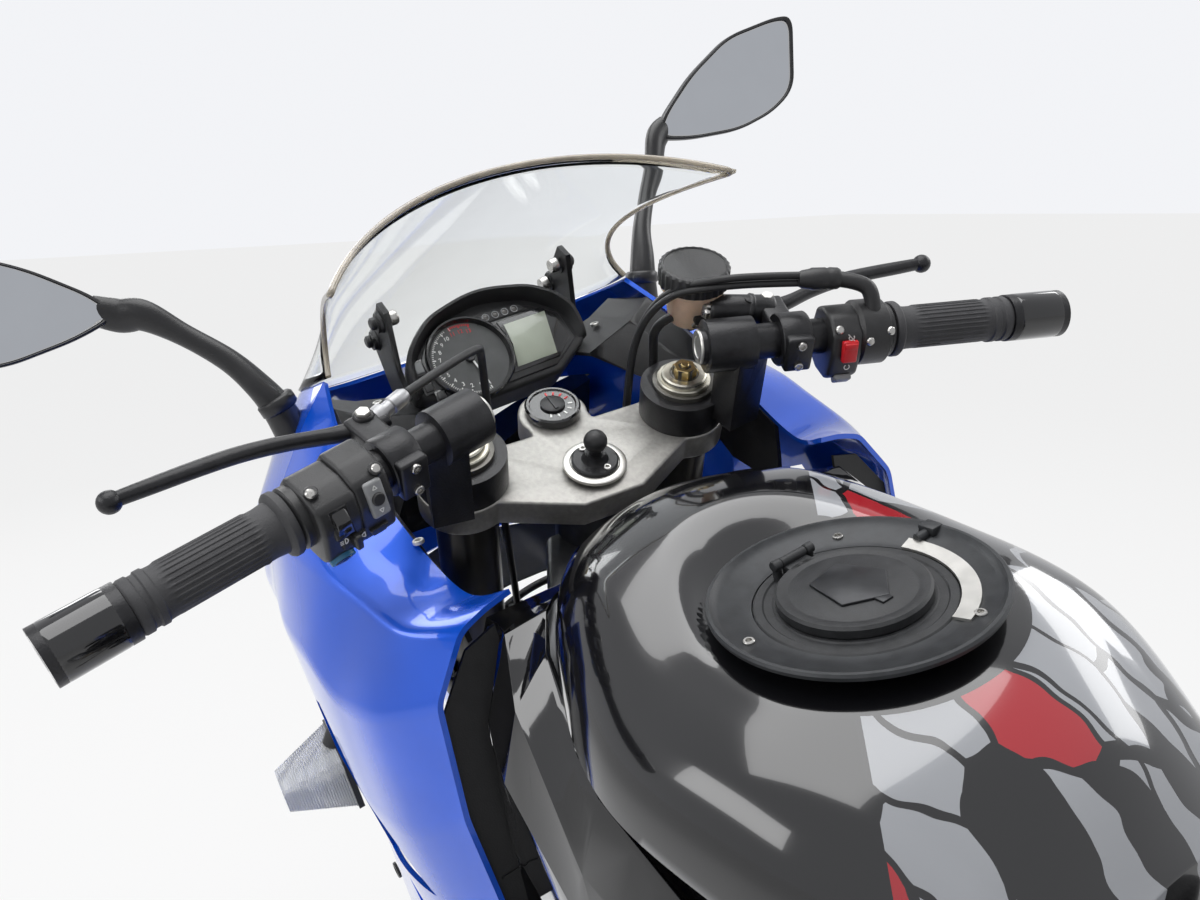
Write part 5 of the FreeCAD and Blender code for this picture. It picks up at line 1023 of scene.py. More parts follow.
dash_piece("panel_crystal", crystal,
           (slab, [(8, -21, 3.2), (49, -21, 3.2), (58, 21, 3.2), (15, 21, 3.2), (14.5, 0, 3.2)], (0, 0, 0.7),
            0.3))
lamp_dark = finish("warning_lamp", (0.06, 0.055, 0.05), 0.25, coat=0.4, mottle=0.2)
dash_piece("lamp_shelf", dash_black,
           (slab, [(-8, 28, 2), (44, 28, 2), (38, 36.6, 2), (0, 39.4, 2), (-6, 37, 2)], (0, 0, 1.6), 1.2, 3))
for index in range(4):
    spot = (3 + 9.6 * index, 33 - 0.2 * index, 3.4)
    dash_piece(f"warning_lamp_{index}", lamp_dark,
               (lathe, [(0, 0), (2.8, 0), (2.8, 0.5), (1.6, 1.0), (0, 1.1)], spot, (0, 0, 1), 28))
    dash_piece(f"warning_edge_{index}", key_grey,
               (lathe, [(2.8, 0), (3.5, 0), (3.5, 0.7), (2.8, 0.7), (2.8, 0)], spot, (0, 0, 1), 28))
for index, (b, tall) in enumerate(((9, 6.5), (-9, 7), (-21, 4.6))):
    lean = -74.6 + 0.08 * abs(b) + (6 if b < -15 else 0)
    dash_piece(f"dash_key_frame_{index}", gloss_black,
               (slab, [(lean - 5.8, b - tall - 1, 2), (lean + 5, b - tall - 1, 2),
                       (lean + 5.4, b + tall + 1, 2), (lean - 4.8, b + tall + 1, 2)], (0, 0, 1.6), 0.9, 2))
    dash_piece(f"dash_key_{index}", key_grey if index == 0 else switch_black,
               (slab, [(lean - 4, b - tall + 1, 3), (lean + 3.4, b - tall + 1, 3),
                       (lean + 3.8, b + tall - 1, 3), (lean - 3.4, b + tall - 1, 3)], (0, 0, 2), 0.9, 3))

# The windscreen is a bubble of clear polycarbonate about 4 mm thick, its rim polished and warm toned,
# held at its foot by the nose and on each side by a bent black bracket with two rubber nuts.
SCREEN_ARCS = (((1259, 148, 1045.5), (1470, 0, 987)), ((1242, 141, 1096), (1340, 0, 1090)),
               ((1095, 168, 1132), (1176, 0, 1174)))
screen_clear = finish("screen_clear", (0.93, 0.95, 0.95), 0.03, mottle=0.01)
tuned(screen_clear, {"Transmission Weight": 1.0, "IOR": 1.2})
ACROSS, UPWARD = 56, 22


def arc_points(side, middle, steps):
    """Points along the circle through a left point, a middle point and the left point's mirror image."""
    side, middle = Vector(side), Vector(middle)
    foot = Vector((side.x, 0, side.z))
    rise = (middle - foot).length
    ahead = (middle - foot).normalized()
    radius = (side.y ** 2 + rise ** 2) / (2 * rise)
    centre = foot + ahead * (rise - radius)
    half = atan2(side.y, radius - rise)
    return [centre + ahead * radius * cos(half * t) + Vector((0, radius * sin(half * t), 0))
            for t in (1 - 2 * k / steps for k in range(steps + 1))]


arcs = [arc_points(side, middle, ACROSS) for side, middle in SCREEN_ARCS]
sheet = bmesh.new()
rows = []
for j in range(UPWARD + 1):
    t = 2 * j / UPWARD
    weights = ((1 - t) * (2 - t) / 2, t * (2 - t), t * (t - 1) / 2)
    rows.append([sum((arc[k] * w for arc, w in zip(arcs, weights)), Vector()) for k in range(ACROSS + 1)])
lofted(sheet, rows, closed=False)
made = made_of(sheet, "screen_sheet", BIKE, screen_clear, "root", ["windscreen"])
thick = made.modifiers.new("thick", "SOLIDIFY")
thick.thickness, thick.offset = 0.0036, 0.0
mesh = evaluated(made)
made.modifiers.clear()
made.data = mesh
rim_warm = finish("screen_rim", (0.62, 0.55, 0.44), 0.22, coat=0.5, mottle=0.2, scale=60)
tuned(rim_warm, {"Transmission Weight": 0.5})
edge = [row[0] for row in rows] + rows[-1][2:-2:3] + [row[-1] for row in rows[::-1]]
hose("screen_edge", edge, 2.3, BIKE, rim_warm, "root")
HALVES = {"left": BIKE, "right": BIKE @ MIRROR}
for name, flip in HALVES.items():
    nuts = bmesh.new()
    for x, z in ((1266, 1074), (1294, 1055)):
        lathe(nuts, [(0, 86), (9, 86), (10, 88), (10, 92), (8, 94), (5.4, 94), (5.4, 99), (3.6, 100.4),
                     (0, 100.4)], (x, 0, z), (0, 1, 0), 28)
    made_of(nuts, f"screen_nuts_{name}", flip, black_rubber, "root", ())
    heads = bmesh.new()
    for x, z in ((1266, 1074), (1294, 1055)):
        lathe(heads, [(0, 76), (5.6, 76), (6.6, 78), (6.6, 83), (0, 83)], (x, 0, z), (0, 1, 0), 28)
    made_of(heads, f"screen_screws_{name}", flip, screw_steel, "root", ())

# Inner cowls of grained black plastic close the gap between the fairings and the fork; the screen's
# brackets stand on them. They are held by small round head screws.
eased("inner_cowls", 1.6, dash_black, "root", 3, 25)
for name, flip in HALVES.items():
    for index, (x, y, z) in enumerate(((1272, 112, 1006), (1216, 150, 985), (1108, 158, 944))):
        bolt(f"cowl_screw_{name}_{index}", flip @ Matrix.Translation((x, y, z)), bare_metal, "root", 4.4, 2.6)

# The fairings are moulded plastic about 4 mm thick in candy blue under clear lacquer, creased along
# their length, an upper and a lower panel each side, with a dark grille let into the upper one's vent.
blue_paint = finish("candy_blue", (0.001, 0.1, 0.74), 0.24, metal=0.35, coat=1.0, mottle=0.12, scale=8,
                    grain=0.05, grain_scale=2600)
PANEL_WALL = 4.0


def softened(outline, ease):
    """An open outline with each corner drawn as a short curve."""
    points = [outline[0]]
    for before, corner, after in zip(outline, outline[1:], outline[2:]):
        ends = []
        for other in (before, after):
            reach = min(ease / dist(corner, other), 0.45)
            ends.append([c + (o - c) * reach for c, o in zip(corner, other)])
        for t in (0, 0.25, 0.5, 0.75, 1):
            points.append(tuple((1 - t) ** 2 * a + 2 * t * (1 - t) * c + t * t * b
                                for a, c, b in zip(ends[0], corner, ends[1])))
    return points + [outline[-1]]


def inset(outline, wall):
    """An open outline moved to its right by the wall, mitred at its corners."""
    moved = []
    for index, (s, z) in enumerate(outline):
        before, after = outline[max(index - 1, 0)], outline[min(index + 1, len(outline) - 1)]
        normals = [((b[1] - a[1]) / dist(a, b), (a[0] - b[0]) / dist(a, b)) for a,
                   b in ((before, (s, z)), ((s, z), after)) if dist(a, b)]
        ns, nz = (sum(n[k] for n in normals) / len(normals) for k in (0, 1))
        moved.append((s + ns * wall / (ns * ns + nz * nz), z + nz * wall / (ns * ns + nz * nz)))
    return moved


def panel_mesh(rows, steps=10, ease=7.0, wall=PANEL_WALL):
    """A creased skin through stations; rows hold x, y, heading, then flat (outward, up) corners."""
    bm = bmesh.new()
    rings = []
    for x, y, heading, *flat in curve_through(rows, steps):
        line = softened(list(zip(flat[::2], flat[1::2])), ease)
        a = radians(heading)
        rings.append([(x + s * cos(a), y + s * sin(a), z) for s, z in line + inset(line, wall)[::-1]])
    lofted(bm, rings)
    return bm


def through(bm, cutter, keep_inside=False):
    """Cut one drawn mesh by another, or keep only what they share."""
    pieces = []
    for index, source in enumerate((bm, cutter)):
        bmesh.ops.recalc_face_normals(source, faces=source.faces)
        pieces.append(placed(f"cut_{index}", mesh_from(source, f"cut_{index}")))
    cut = pieces[0].modifiers.new("cut", "BOOLEAN")
    cut.operation = "INTERSECT" if keep_inside else "DIFFERENCE"
    cut.object, cut.solver = pieces[1], "EXACT"
    mesh = evaluated(pieces[0])
    for piece in pieces:
        bpy.data.objects.remove(piece)
    out = bmesh.new()
    out.from_mesh(mesh)
    return out


def prism(outline, push):
    """A plain block on a flat outline."""
    bm = bmesh.new()
    slab(bm, outline, push, 0)
    return bm


FAIRING_ROWS = [
    (1006, (138, 934), (158, 930), (178, 922), (206, 880), (212, 790), (205, 690)),
    (1050, (151, 920), (176, 921), (202, 920), (238, 868), (240, 770), (230, 668)),
    (1100, (158, 938), (186, 934), (214, 930), (250, 862), (251, 765), (238, 650)),
    (1150, (163, 970), (194, 955), (224, 940), (254, 878), (254, 770), (238, 660)),
    (1210, (166, 1006), (192, 985), (230, 944), (254, 880), (250, 785), (234, 690)),
    (1264, (152, 1042), (180, 1012), (230, 948), (246, 882), (240, 800), (228, 716))]
LOWER_ROWS = [(882, (186, 500), (200, 420), (184, 320), (118, 196)),
              (940, (196, 590), (208, 470), (190, 330), (112, 172)),
              (1006, (205, 686), (222, 560), (205, 380), (108, 160)),
              (1100, (238, 646), (240, 540), (212, 380), (106, 178)),
              (1190, (235, 676), (238, 560), (226, 470), (205, 400)),
              (1250, (230, 702), (232, 650), (228, 600), (222, 560))]
VENT = ((1060, 700), (1150, 690), (1190, 820), (1168, 828))
SLOT = ((980, 470), (1120, 470), (1090, 540), (1000, 540))


def flat_rows(rows, heading=90):
    """Rows of x and corners as plain numbers with their heading."""
    return [[x, 0, heading] + [c for corner in corners for c in corner] for x, *corners in rows]


grille_black = finish("grille_black", (0.012, 0.012, 0.013), 0.55, mottle=0.2, scale=120, grain=0.3)
for name, flip in HALVES.items():
    upper = through(panel_mesh(flat_rows(FAIRING_ROWS)), prism([(x, 150, z) for x, z in VENT], (0, 150, 0)))
    made_of(upper, f"upper_panel_{name}", flip, blue_paint, "root", [f"fairing_{name}"], sharp=28)
    lower = through(panel_mesh(flat_rows(LOWER_ROWS), 4), prism([(x, 100, z) for x, z in SLOT], (0, 200, 0)))
    made_of(lower, f"lower_panel_{name}", flip, blue_paint, "root", [f"lower_fairing_{name}"],
            sharp=28)
    slats = bmesh.new()
    for k in range(6):
        x, z = 1072 + 17 * k, 706 + 15 * k
        slab(slats, [(x, 214, z), (x + 12, 214, z - 8), (x + 46 - 2 * k, 214, z + 46),
                     (x + 40 - 2 * k, 214, z + 50)], (0, 12, 0), 1.2)
    slab(slats, [(1050, 206, 692), (1152, 206, 682), (1198, 206, 826), (1164, 206, 836)], (0, 5, 0), 1)
    made_of(slats, f"vent_grille_{name}", flip, grille_black, "root", ())
    for index, (x, y, z) in enumerate(((1020, 208.6, 730), (1236, 241, 770), (1120, 248, 690), (1180, 231, 590),
                                       (960, 204, 540))):
        bolt(f"panel_screw_{name}_{index}", flip @ Matrix.Translation((x, y, z)) @ turned(-90, "X"),
             switch_black, "root", 6.4, 2.2)

# Gloss black covers fill the steps between the tank and the fairings; they are lacquered like the tank.
cover_gloss = finish("cover_lacquer", (0.005, 0.005, 0.006), 0.08, coat=1.0, mottle=0.2, scale=4)
eased("tank_side_covers", 2.6, cover_gloss, "root", 3, 20)

# The nose cowl closes the front between the fairings, in the same blue. Two slanted headlamps are
# let into it: a clear lens over a dark bowl with a bright reflector and a projector in each.
NOSE_X = 1312.0
NOSE_ROWS = [(90, (160, 1029), (184, 1004), (228, 946), (242, 880), (238, 800), (226, 722)),
             (60, (160, 1007), (205, 962), (238, 900), (246, 840), (232, 775), (212, 722)),
             (30, (160, 990), (232, 945), (282, 880), (292, 825), (268, 770), (232, 725)),
             (0, (160, 984), (250, 930), (318, 864), (330, 815), (300, 760), (262, 722))]
LAMP_MID_Z, BULB_Y, BULB_Z = 857, 84, 846
LAMP_OUTLINE = ((26, 858), (44, 806), (118, 812), (176, 856), (190, 904), (110, 888))
fore = [flat_rows([FAIRING_ROWS[-1]])[0]]
fore[0][0] += 0.3
quarter = [[NOSE_X, 0, heading] + [c for corner in corners for c in corner] for heading, *corners in NOSE_ROWS]
nose_rows = fore + quarter + [[row[0], 0, -row[2]] + row[3:] for row in quarter[-2::-1]]
nose_rows += [[fore[0][0], 0, -90] + fore[0][3:]]
nose, lens = panel_mesh(nose_rows, 9), panel_mesh(nose_rows, 9)
openings = bmesh.new()
for side in (1, -1):
    slab(openings, [(1380, side * y, z) for y, z in LAMP_OUTLINE], (320, 0, 0), 0)
made_of(through(nose, openings.copy()), "nose_panel", BIKE, blue_paint, "root", ["nose_cowl"],
        sharp=28)
clear_lens = finish("clear_lens", (0.94, 0.95, 0.95), 0.04, mottle=0.01)
tuned(clear_lens, {"Transmission Weight": 0.92, "IOR": 1.3})
made_of(through(lens, openings, True), "lamp_lenses", BIKE, clear_lens, "root", ["headlamps"],
        sharp=28)
mirror_bright = finish("lamp_reflector", (0.85, 0.86, 0.87), 0.08, metal=1.0, mottle=0.03)
bowl, reflectors, projectors = bmesh.new(), bmesh.new(), bmesh.new()
for side in (1, -1):
    back = [(1440, side * y * 0.96, LAMP_MID_Z + (z - LAMP_MID_Z) * 0.94) for y, z in LAMP_OUTLINE]
    front = [(1540 - abs(y) * 0.35, side * y, LAMP_MID_Z + (z - LAMP_MID_Z) * 1.02) for y, z in LAMP_OUTLINE]
    lofted(bowl, [front, back], caps=False)
    bowl.faces.new([bowl.verts.new(p) for p in back])
    lathe(reflectors, [(30, 46), (27, 26), (20, 12), (9, 3), (0, 2)], (1450, side * BULB_Y, BULB_Z),
          (1, 0, 0.02), 48)
    lathe(projectors, [(0, 20), (9, 19), (16, 14), (19, 6), (19.4, 0), (21, 0), (21, -12)],
          (1474, side * BULB_Y, BULB_Z), (1, 0, 0.02), 40)
made_of(bowl, "lamp_bowls", BIKE, gloss_black, "root", ())
made_of(reflectors, "lamp_reflectors", BIKE, mirror_bright, "root", ())
made_of(projectors, "lamp_projectors", BIKE, clear_lens, "root", ())

# Each mirror is a black moulded arm, thick at a collared joint near the head and at its foot, and an
# angular housing with the glass set a little into its face behind a thin bright inner rim.
MIRROR_OUTLINE = ((271, 1150), (283, 1170), (321, 1204), (369, 1233), (424, 1241), (442, 1238), (428, 1167),
                  (401, 1149), (360, 1139), (306, 1142))
MIRROR_AWAY = Vector((0.95, 0.28, -0.1)).normalized()
MIRROR_CORNER, MIRROR_DROP = Vector((1346, 271, 1150)), {"left": 22.0, "right": 0.0}
arm_black = finish("mirror_plastic", (0.013, 0.013, 0.014), 0.34, mottle=0.15, scale=80, grain=0.2,
                   grain_scale=900)
glass_face = finish("mirror_glass", (0.55, 0.57, 0.6), 0.02, metal=1.0, mottle=0.01)
rim_silver = finish("mirror_rim", (0.6, 0.6, 0.6), 0.2, metal=1.0, mottle=0.05)


def rounded_face(points, ease=16.0, steps=6):
    """A closed outline with its corners drawn as curves."""
    out = []
    for k, corner in enumerate(points):
        before, after = points[k - 1], points[(k + 1) % len(points)]
        ends = [corner + (other - corner) * min(ease / (other - corner).length, 0.48)
                for other in (before, after)]
        out += [ends[0] * (1 - t) ** 2 + corner * 2 * t * (1 - t) + ends[1] * t * t
                for t in (k / steps for k in range(steps + 1))]
    return out


def arm_through(bm, rows, steps=8, sides=24):
    """A round arm along points whose rows hold x, y, z, radius across and radius up."""
    run = curve_through(rows, steps)
    rings = []
    for index, (x, y, z, wide, tall) in enumerate(run):
        ahead = Vector(run[min(index + 1, len(run) - 1)][:3]) - Vector(run[max(index - 1, 0)][:3])
        side = ahead.cross(Vector((0, 0, 1))).normalized()
        up = side.cross(ahead).normalized()
        rings.append([Vector((x, y, z)) + side * wide * cos(a) + up * tall * sin(a) for a in circle(sides)])
    lofted(bm, rings)


for name, flip in HALVES.items():
    drop = MIRROR_DROP[name]
    face = []
    for y, z in MIRROR_OUTLINE:
        flat = Vector((MIRROR_CORNER.x, y, z))
        face.append(flat - Vector(((flat - MIRROR_CORNER).dot(MIRROR_AWAY) / MIRROR_AWAY.x, 0, drop)))
    face = rounded_face(face)
    middle = sum(face, Vector()) / len(face)

    def face_ring(lift, grow):
        return [middle + (p - middle) * grow + MIRROR_AWAY * lift for p in face]

    drawn(f"mirror_shell_{name}", flip, arm_black, "root", "black_metal",
          (lofted, [face_ring(3.4, 0.93), face_ring(0.4, 0.935), face_ring(-0.6, 0.955), face_ring(0, 0.99),
                    face_ring(2, 1.0), face_ring(11, 1.0), face_ring(19, 0.95), face_ring(26, 0.86),
                    face_ring(31, 0.72), face_ring(33, 0.5)]),
          (arm_through, [(1292, 183, 1000, 15, 15), (1293, 188, 1026, 13.5, 13.5), (1298, 196, 1048, 12, 11),
                         (1310, 210, 1074, 9, 10), (1326, 234, 1102, 8, 9.5), (1338, 256, 1124, 9, 13),
                         (1347, 272, 1150 - drop, 9, 14), (1352, 290, 1160 - drop, 8, 12)]),
          (rod, (1292.5, 186, 1024), (1294, 189, 1036), 16, 2, 32),
          nodes=["mirrors"] if name == "left" else (), sharp=50)
    drawn(f"mirror_pane_{name}", flip, glass_face, "root", "mirror_face",
          (lofted, [face_ring(0.3, 0.915), face_ring(2.6, 0.915)]),
          nodes=["mirror_glass"] if name == "left" else ())
    rim = bmesh.new()
    lofted(rim, [face_ring(0.2, 0.93), face_ring(0.2, 0.914), face_ring(2.4, 0.914), face_ring(2.4, 0.93)],
           caps=False)
    made_of(rim, f"mirror_inner_rim_{name}", flip, rim_silver, "root", ())

# The front turn signals stand out of the cowl on short rubber stems: clear ribbed wedges with a
# moulded black foot. The rear ones are small rounded lamps on the plate arm's cross stalks.
ribbed_clear = finish("ribbed_lens", (0.82, 0.83, 0.83), 0.12, mottle=0.03)
tuned(ribbed_clear, {"Transmission Weight": 0.55, "IOR": 1.4})
SIGNAL_FOOT = ((1360, 236, 700), (1290, 240, 690), (1286, 240, 636), (1350, 236, 650))
SIGNAL_TIP = ((1336, 296, 690), (1300, 298, 684), (1298, 298, 660), (1330, 296, 666))
SIGNAL_RIBS = 26
for name, flip in HALVES.items():
    foot = rounded_face([Vector(p) for p in SIGNAL_FOOT], 8, 3)
    tip = rounded_face([Vector(p) for p in SIGNAL_TIP], 6, 3)
    rings = []
    for k in range(SIGNAL_RIBS * 2 + 1):
        t = k / (SIGNAL_RIBS * 2)
        centre = sum(foot, Vector()) / len(foot) * (1 - t) + sum(tip, Vector()) / len(tip) * t
        swell = 1 - 0.022 * (k % 2)
        rings.append([centre + ((a * (1 - t) + b * t) - centre) * swell for a, b in zip(foot, tip)])
    drawn(f"signal_lens_{name}", flip, ribbed_clear, "root", "signal_lens",
          (lofted, rings), nodes=["signals"] if name == "left" else (), sharp=12)
    drawn(f"signal_stem_{name}", flip, black_rubber, "root", "plate_plastic",
          (rod, (1326, 208, 734), (1323, 240, 690), 11, 1.5, 32),
          (lofted, [[p + (p - Vector((1322, 238, 668))) * 0.05 + Vector((0, d, 0)) for p in foot]
                    for d in (-4, 1.5)]))
    drawn(f"rear_signal_{name}", flip, ribbed_clear, "root", "signal_lens",
          (arm_through, [(-300, 84, 742, 24, 14), (-288, 84, 742, 27, 16), (-268, 83, 742, 29, 17.4),
                         (-262, 82, 742, 28, 16)], 4, 32), sharp=50)
    drawn(f"rear_signal_back_{name}", flip, black_rubber, "root", "plate_plastic",
          (rod, (-272, 24, 742), (-276, 60, 742), 6, 0.8, 24),
          (arm_through, [(-264, 82, 742, 30, 18), (-256, 82, 742, 27, 16), (-250, 82, 742, 16, 9)], 4, 32),
          sharp=50)

# A black tray closes the nose from below, between the fairings and round the fork's sweep, and a black
# bulkhead stands between each side cover and the rear edge of its fairing.
BULKHEAD = ((152, 912), (176, 904), (202, 868), (208, 790), (201, 696), (186, 692), (184, 750), (176, 846),
            (152, 900))
TRAY_Z, TRAY_IN = 728.0, 178.0
axis_low, axis_high = (BIKE.inverted() @ STEER @ Vector((0, 0, w)) for w in (0, 1000))
tray_middle = axis_low.lerp(axis_high, (TRAY_Z - axis_low.z) / (axis_high.z - axis_low.z))
rim_points = [(NOSE_X + (s - 8) * cos(radians(h)), (s - 8) * sin(radians(h)))
              for h, s in ((0, 262), (15, 246), (30, 232), (45, 221), (60, 213), (75, 219), (90, 226))]
rim_points += [(1264, 219), (1210, 230), (1150, 242), (1100, 237), (1050, 224), (1010, 198)]
for name, flip in HALVES.items():
    tray = bmesh.new()
    inner_points = [tray_middle + TRAY_IN * Vector((cos(a), sin(a), 0))
                    for a in (radians(158 * k / (len(rim_points) - 1)) for k in range(len(rim_points)))]
    inner_points = [(p.x, p.y) for p in inner_points[:-1]] + [(1010, 184)]
    for k in range(len(rim_points) - 1):
        quad = [rim_points[k], rim_points[k + 1], inner_points[k + 1], inner_points[k]]
        slab(tray, [(x, y, TRAY_Z) for x, y in quad], (0, 0, -2), 0)
    made_of(tray, f"nose_tray_{name}", flip, grille_black, "root", ())
    drawn(f"bulkhead_{name}", flip, grille_black, "root", "dash_plastic",
          (slab, [(1011, y, z) for y, z in BULKHEAD], (2.5, 0, 0), 0))

# The rider's and the pillion's seats are shaped foam under a grained black cover stretched over a
# hidden pan, each with a piped seam along both shoulders. The cover is swollen by a cloth simulation.
seat_cover = finish("seat_cover", (0.022, 0.022, 0.023), 0.58, mottle=0.2, scale=70, grain=0.7, grain_scale=420)
tuned(seat_cover, {"Sheen Weight": 0.15})
VOXEL, PRESSURE, SWELL_FRAMES, SWELL_MOST = 0.007, 4.0, 20, 0.007


def pad_section(x, z, half_y, half_z, corner, crown, steps=7):
    """A cushion's cross section: round corners, and a crown on its top."""
    points = []
    for turn, (sy, sz) in enumerate(((1, 1), (-1, 1), (-1, -1), (1, -1))):
        for k in range(steps):
            a = radians(90 * turn + 90 * k / (steps - 1))
            y = sy * (half_y - corner) + corner * cos(a)
            lift = crown * max(0, 1 - (y / half_y) ** 2) if sz > 0 else 0
            points.append(Vector((x, y, z + sz * (half_z - corner) + corner * sin(a) + lift)))
        if sz > 0 and sy > 0:
            for k in range(1, 8):
                y = (half_y - corner) * (1 - k / 4)
                points.append(Vector((x, y, z + half_z + crown * (1 - (y / half_y) ** 2))))
    return points


def stuffed(bm, name, node):
    """Swell a closed skin from a slightly smaller one as a cover over foam, and smooth it."""
    bm.transform(BIKE)
    bmesh.ops.recalc_face_normals(bm, faces=bm.faces)
    made = placed(name, mesh_from(bm, name))
    even = made.modifiers.new("even", "REMESH")
    even.mode, even.voxel_size = "VOXEL", VOXEL
    made.data = evaluated(made)
    made.modifiers.clear()
    start = [v.co.copy() for v in made.data.vertices]
    cloth = made.modifiers.new("cloth", "CLOTH")
    cloth.settings.use_pressure = True
    cloth.settings.uniform_pressure_force = PRESSURE
    cloth.settings.effector_weights.gravity = 0.0
    cloth.point_cache.frame_end = SWELL_FRAMES
    for step in range(1, SWELL_FRAMES + 1):
        bpy.context.scene.frame_set(step)
    swollen = bpy.data.meshes.new_from_object(made.evaluated_get(bpy.context.evaluated_depsgraph_get()))
    made.modifiers.clear()
    for vertex, new, old in zip(made.data.vertices, swollen.vertices, start):
        moved = new.co - old
        vertex.co = old + moved * min(1.0, SWELL_MOST / max(moved.length, 1e-9))
    bpy.context.scene.frame_set(1)
    smooth = made.modifiers.new("smooth", "SMOOTH")
    smooth.factor, smooth.iterations = 0.5, 4
    finer = made.modifiers.new("finer", "SUBSURF")
    finer.levels = finer.render_levels = 1
    made.data = evaluated(made)
    made.modifiers.clear()
    made.data.polygons.foreach_set("use_smooth", [True] * len(made.data.polygons))
    made.data.materials.clear()
    made.data.materials.append(seat_cover)
    on_body(made, "root", [node])
    return made


# x, z, half width, half height, corner, crown
PADS = {"rider": [(640, 792, 62, 33, 16, 3), (560, 778, 94, 38, 22, 2), (430, 776, 130, 38, 26, -3),
                  (345, 790, 140, 41, 28, 0), (310, 808, 126, 40, 26, 3)],
        "pillion": [(300, 857, 86, 29, 20, 3), (180, 867, 106, 33, 24, 2), (40, 877, 98, 31, 22, 1),
                    (-34, 883, 78, 26, 18, 0)]}
for name, rows in PADS.items():
    pad = bmesh.new()
    lofted(pad, [pad_section(*row) for row in curve_through(rows, 6)])
    made = stuffed(pad, f"{name}_pad", f"{name}_seat")
    for hand, side in (("left", 1), ("right", -1)):
        seam = []
        for x, z, half_y, half_z, corner, crown in curve_through(rows, 3)[1:-1]:
            guess = BIKE @ Vector((x, side * (half_y + 4), z + half_z - corner * 0.2))
            place, normal = made.closest_point_on_mesh(guess)[1:3]
            seam.append(BIKE.inverted() @ (place + normal * 0.0003))
        hose(f"{name}_piping_{hand}", seam, 1.6, BIKE, black_rubber, "root")

# The tail cowl is blue moulded plastic round the pillion seat; it carries a red lamp, and under it a
# black arm for the rear signals and the number plate, which is blank.
eased("tail_cowl", 3.0, blue_paint, "root", 3, 22)
tail_red = finish("tail_glass", (0.45, 0.006, 0.01), 0.12, coat=0.8, mottle=0.1, scale=20)
eased("tail_lamp", 2.0, tail_red, "root", 3, 30)
plate_black = finish("plate_arm", (0.015, 0.015, 0.016), 0.55, mottle=0.2, scale=80, grain=0.4)
eased("plate_holder", 1.2, plate_black, "root", 2, 30)
plate_white = finish("plate_face", (0.72, 0.72, 0.7), 0.4, coat=0.2, mottle=0.05, scale=10)
PLATE_AXES = BIKE @ Matrix.Translation((-349, 0, 594.5)) @ turned(-77.1, "Y")
drawn("plate_blank", PLATE_AXES, plate_white, "root", "plate_plastic",
      (slab, [(-72, -95, -0.4), (72, -95, -0.4), (72, 95, -0.4), (-72, 95, -0.4)], (0, 0, 1.6), 0.5))
for index, (x, y) in enumerate(((-50, -70), (50, -70), (-50, 70), (50, 70))):
    bolt(f"plate_screw_{index}", PLATE_AXES @ Matrix.Translation((x, y, 1.2)), switch_black, "root", 4.5, 2)

# The tyres are black road radials: a round tread cut by slanting grooves on both sides of a plain
# middle band, and sidewalls with a rim protector bead. Each is one piece with its grooves 2.5 mm deep.
FRONT_HUB = axes(bar_left.cross(steer_up), bar_left, steer_up, Vector(joints["front_wheel"]["pos_m"]))
REAR_HUB = axes(bike_fore, bike_left, bike_up, Vector(joints["rear_wheel"]["pos_m"]))
HUBS = {"front": FRONT_HUB, "rear": REAR_HUB}
BEAD_R, TURNS, LEAN_STEPS, LEAN_MOST = 216.0, 480, 48, 75
GROOVE, GROOVE_IN, GROOVE_OUT, GROOVE_SHARE, GROOVE_SLANT, PITCHES = 2.5, 11, 52, 0.09, 0.014, 20
tyre_rubber = finish("tyre_rubber", (0.017, 0.017, 0.018), 0.72, mottle=0.25, scale=50, grain=0.35,
                     grain_scale=700)
for end, (radius, crown, seat_half) in {"front": (300.0, 60.0, 44.5), "rear": (311.0, 97.0, 70.0)}.items():
    tyre = bmesh.new()
    middle = radius - crown
    rings = []
    for k in range(TURNS + 1):
        turn = 2 * pi * (k % TURNS) / TURNS
        section = []
        for j in range(LEAN_STEPS + 1):
            lean = -LEAN_MOST + 2 * LEAN_MOST * j / LEAN_STEPS
            out = crown
            phase = (k % TURNS) / TURNS * PITCHES + abs(lean) * GROOVE_SLANT
            if GROOVE_IN < abs(lean) < GROOVE_OUT and (phase + (0.5 if lean > 0 else 0)) % 1 < GROOVE_SHARE:
                out -= GROOVE
            section.append((out * sin(radians(lean)), middle + out * cos(radians(lean))))
        edge = section[-1]
        section += [(edge[0] * 0.5 + seat_half * 0.5 + 2.4, (edge[1] + BEAD_R + 12) / 2),
                    (seat_half + 1.6, BEAD_R + 13), (seat_half, BEAD_R + 9), (seat_half, BEAD_R),
                    (seat_half - 9, BEAD_R)]
        section += [((crown - 9) * sin(radians(b)), middle + (crown - 9) * cos(radians(b)))
                    for b in range(70, -71, -20)]
        section += [(9 - seat_half, BEAD_R), (-seat_half, BEAD_R), (-seat_half, BEAD_R + 9),
                    (-seat_half - 1.6, BEAD_R + 13),
                    (-edge[0] * 0.5 - seat_half * 0.5 - 2.4, (edge[1] + BEAD_R + 12) / 2)]
        rings.append([(r * sin(turn), y, r * cos(turn)) for y, r in section])
    lofted(tyre, rings, caps=False)
    made_of(tyre, f"{end}_tread", HUBS[end], tyre_rubber, f"{end}_wheel", [f"{end}_tyre"],
            sharp=32)

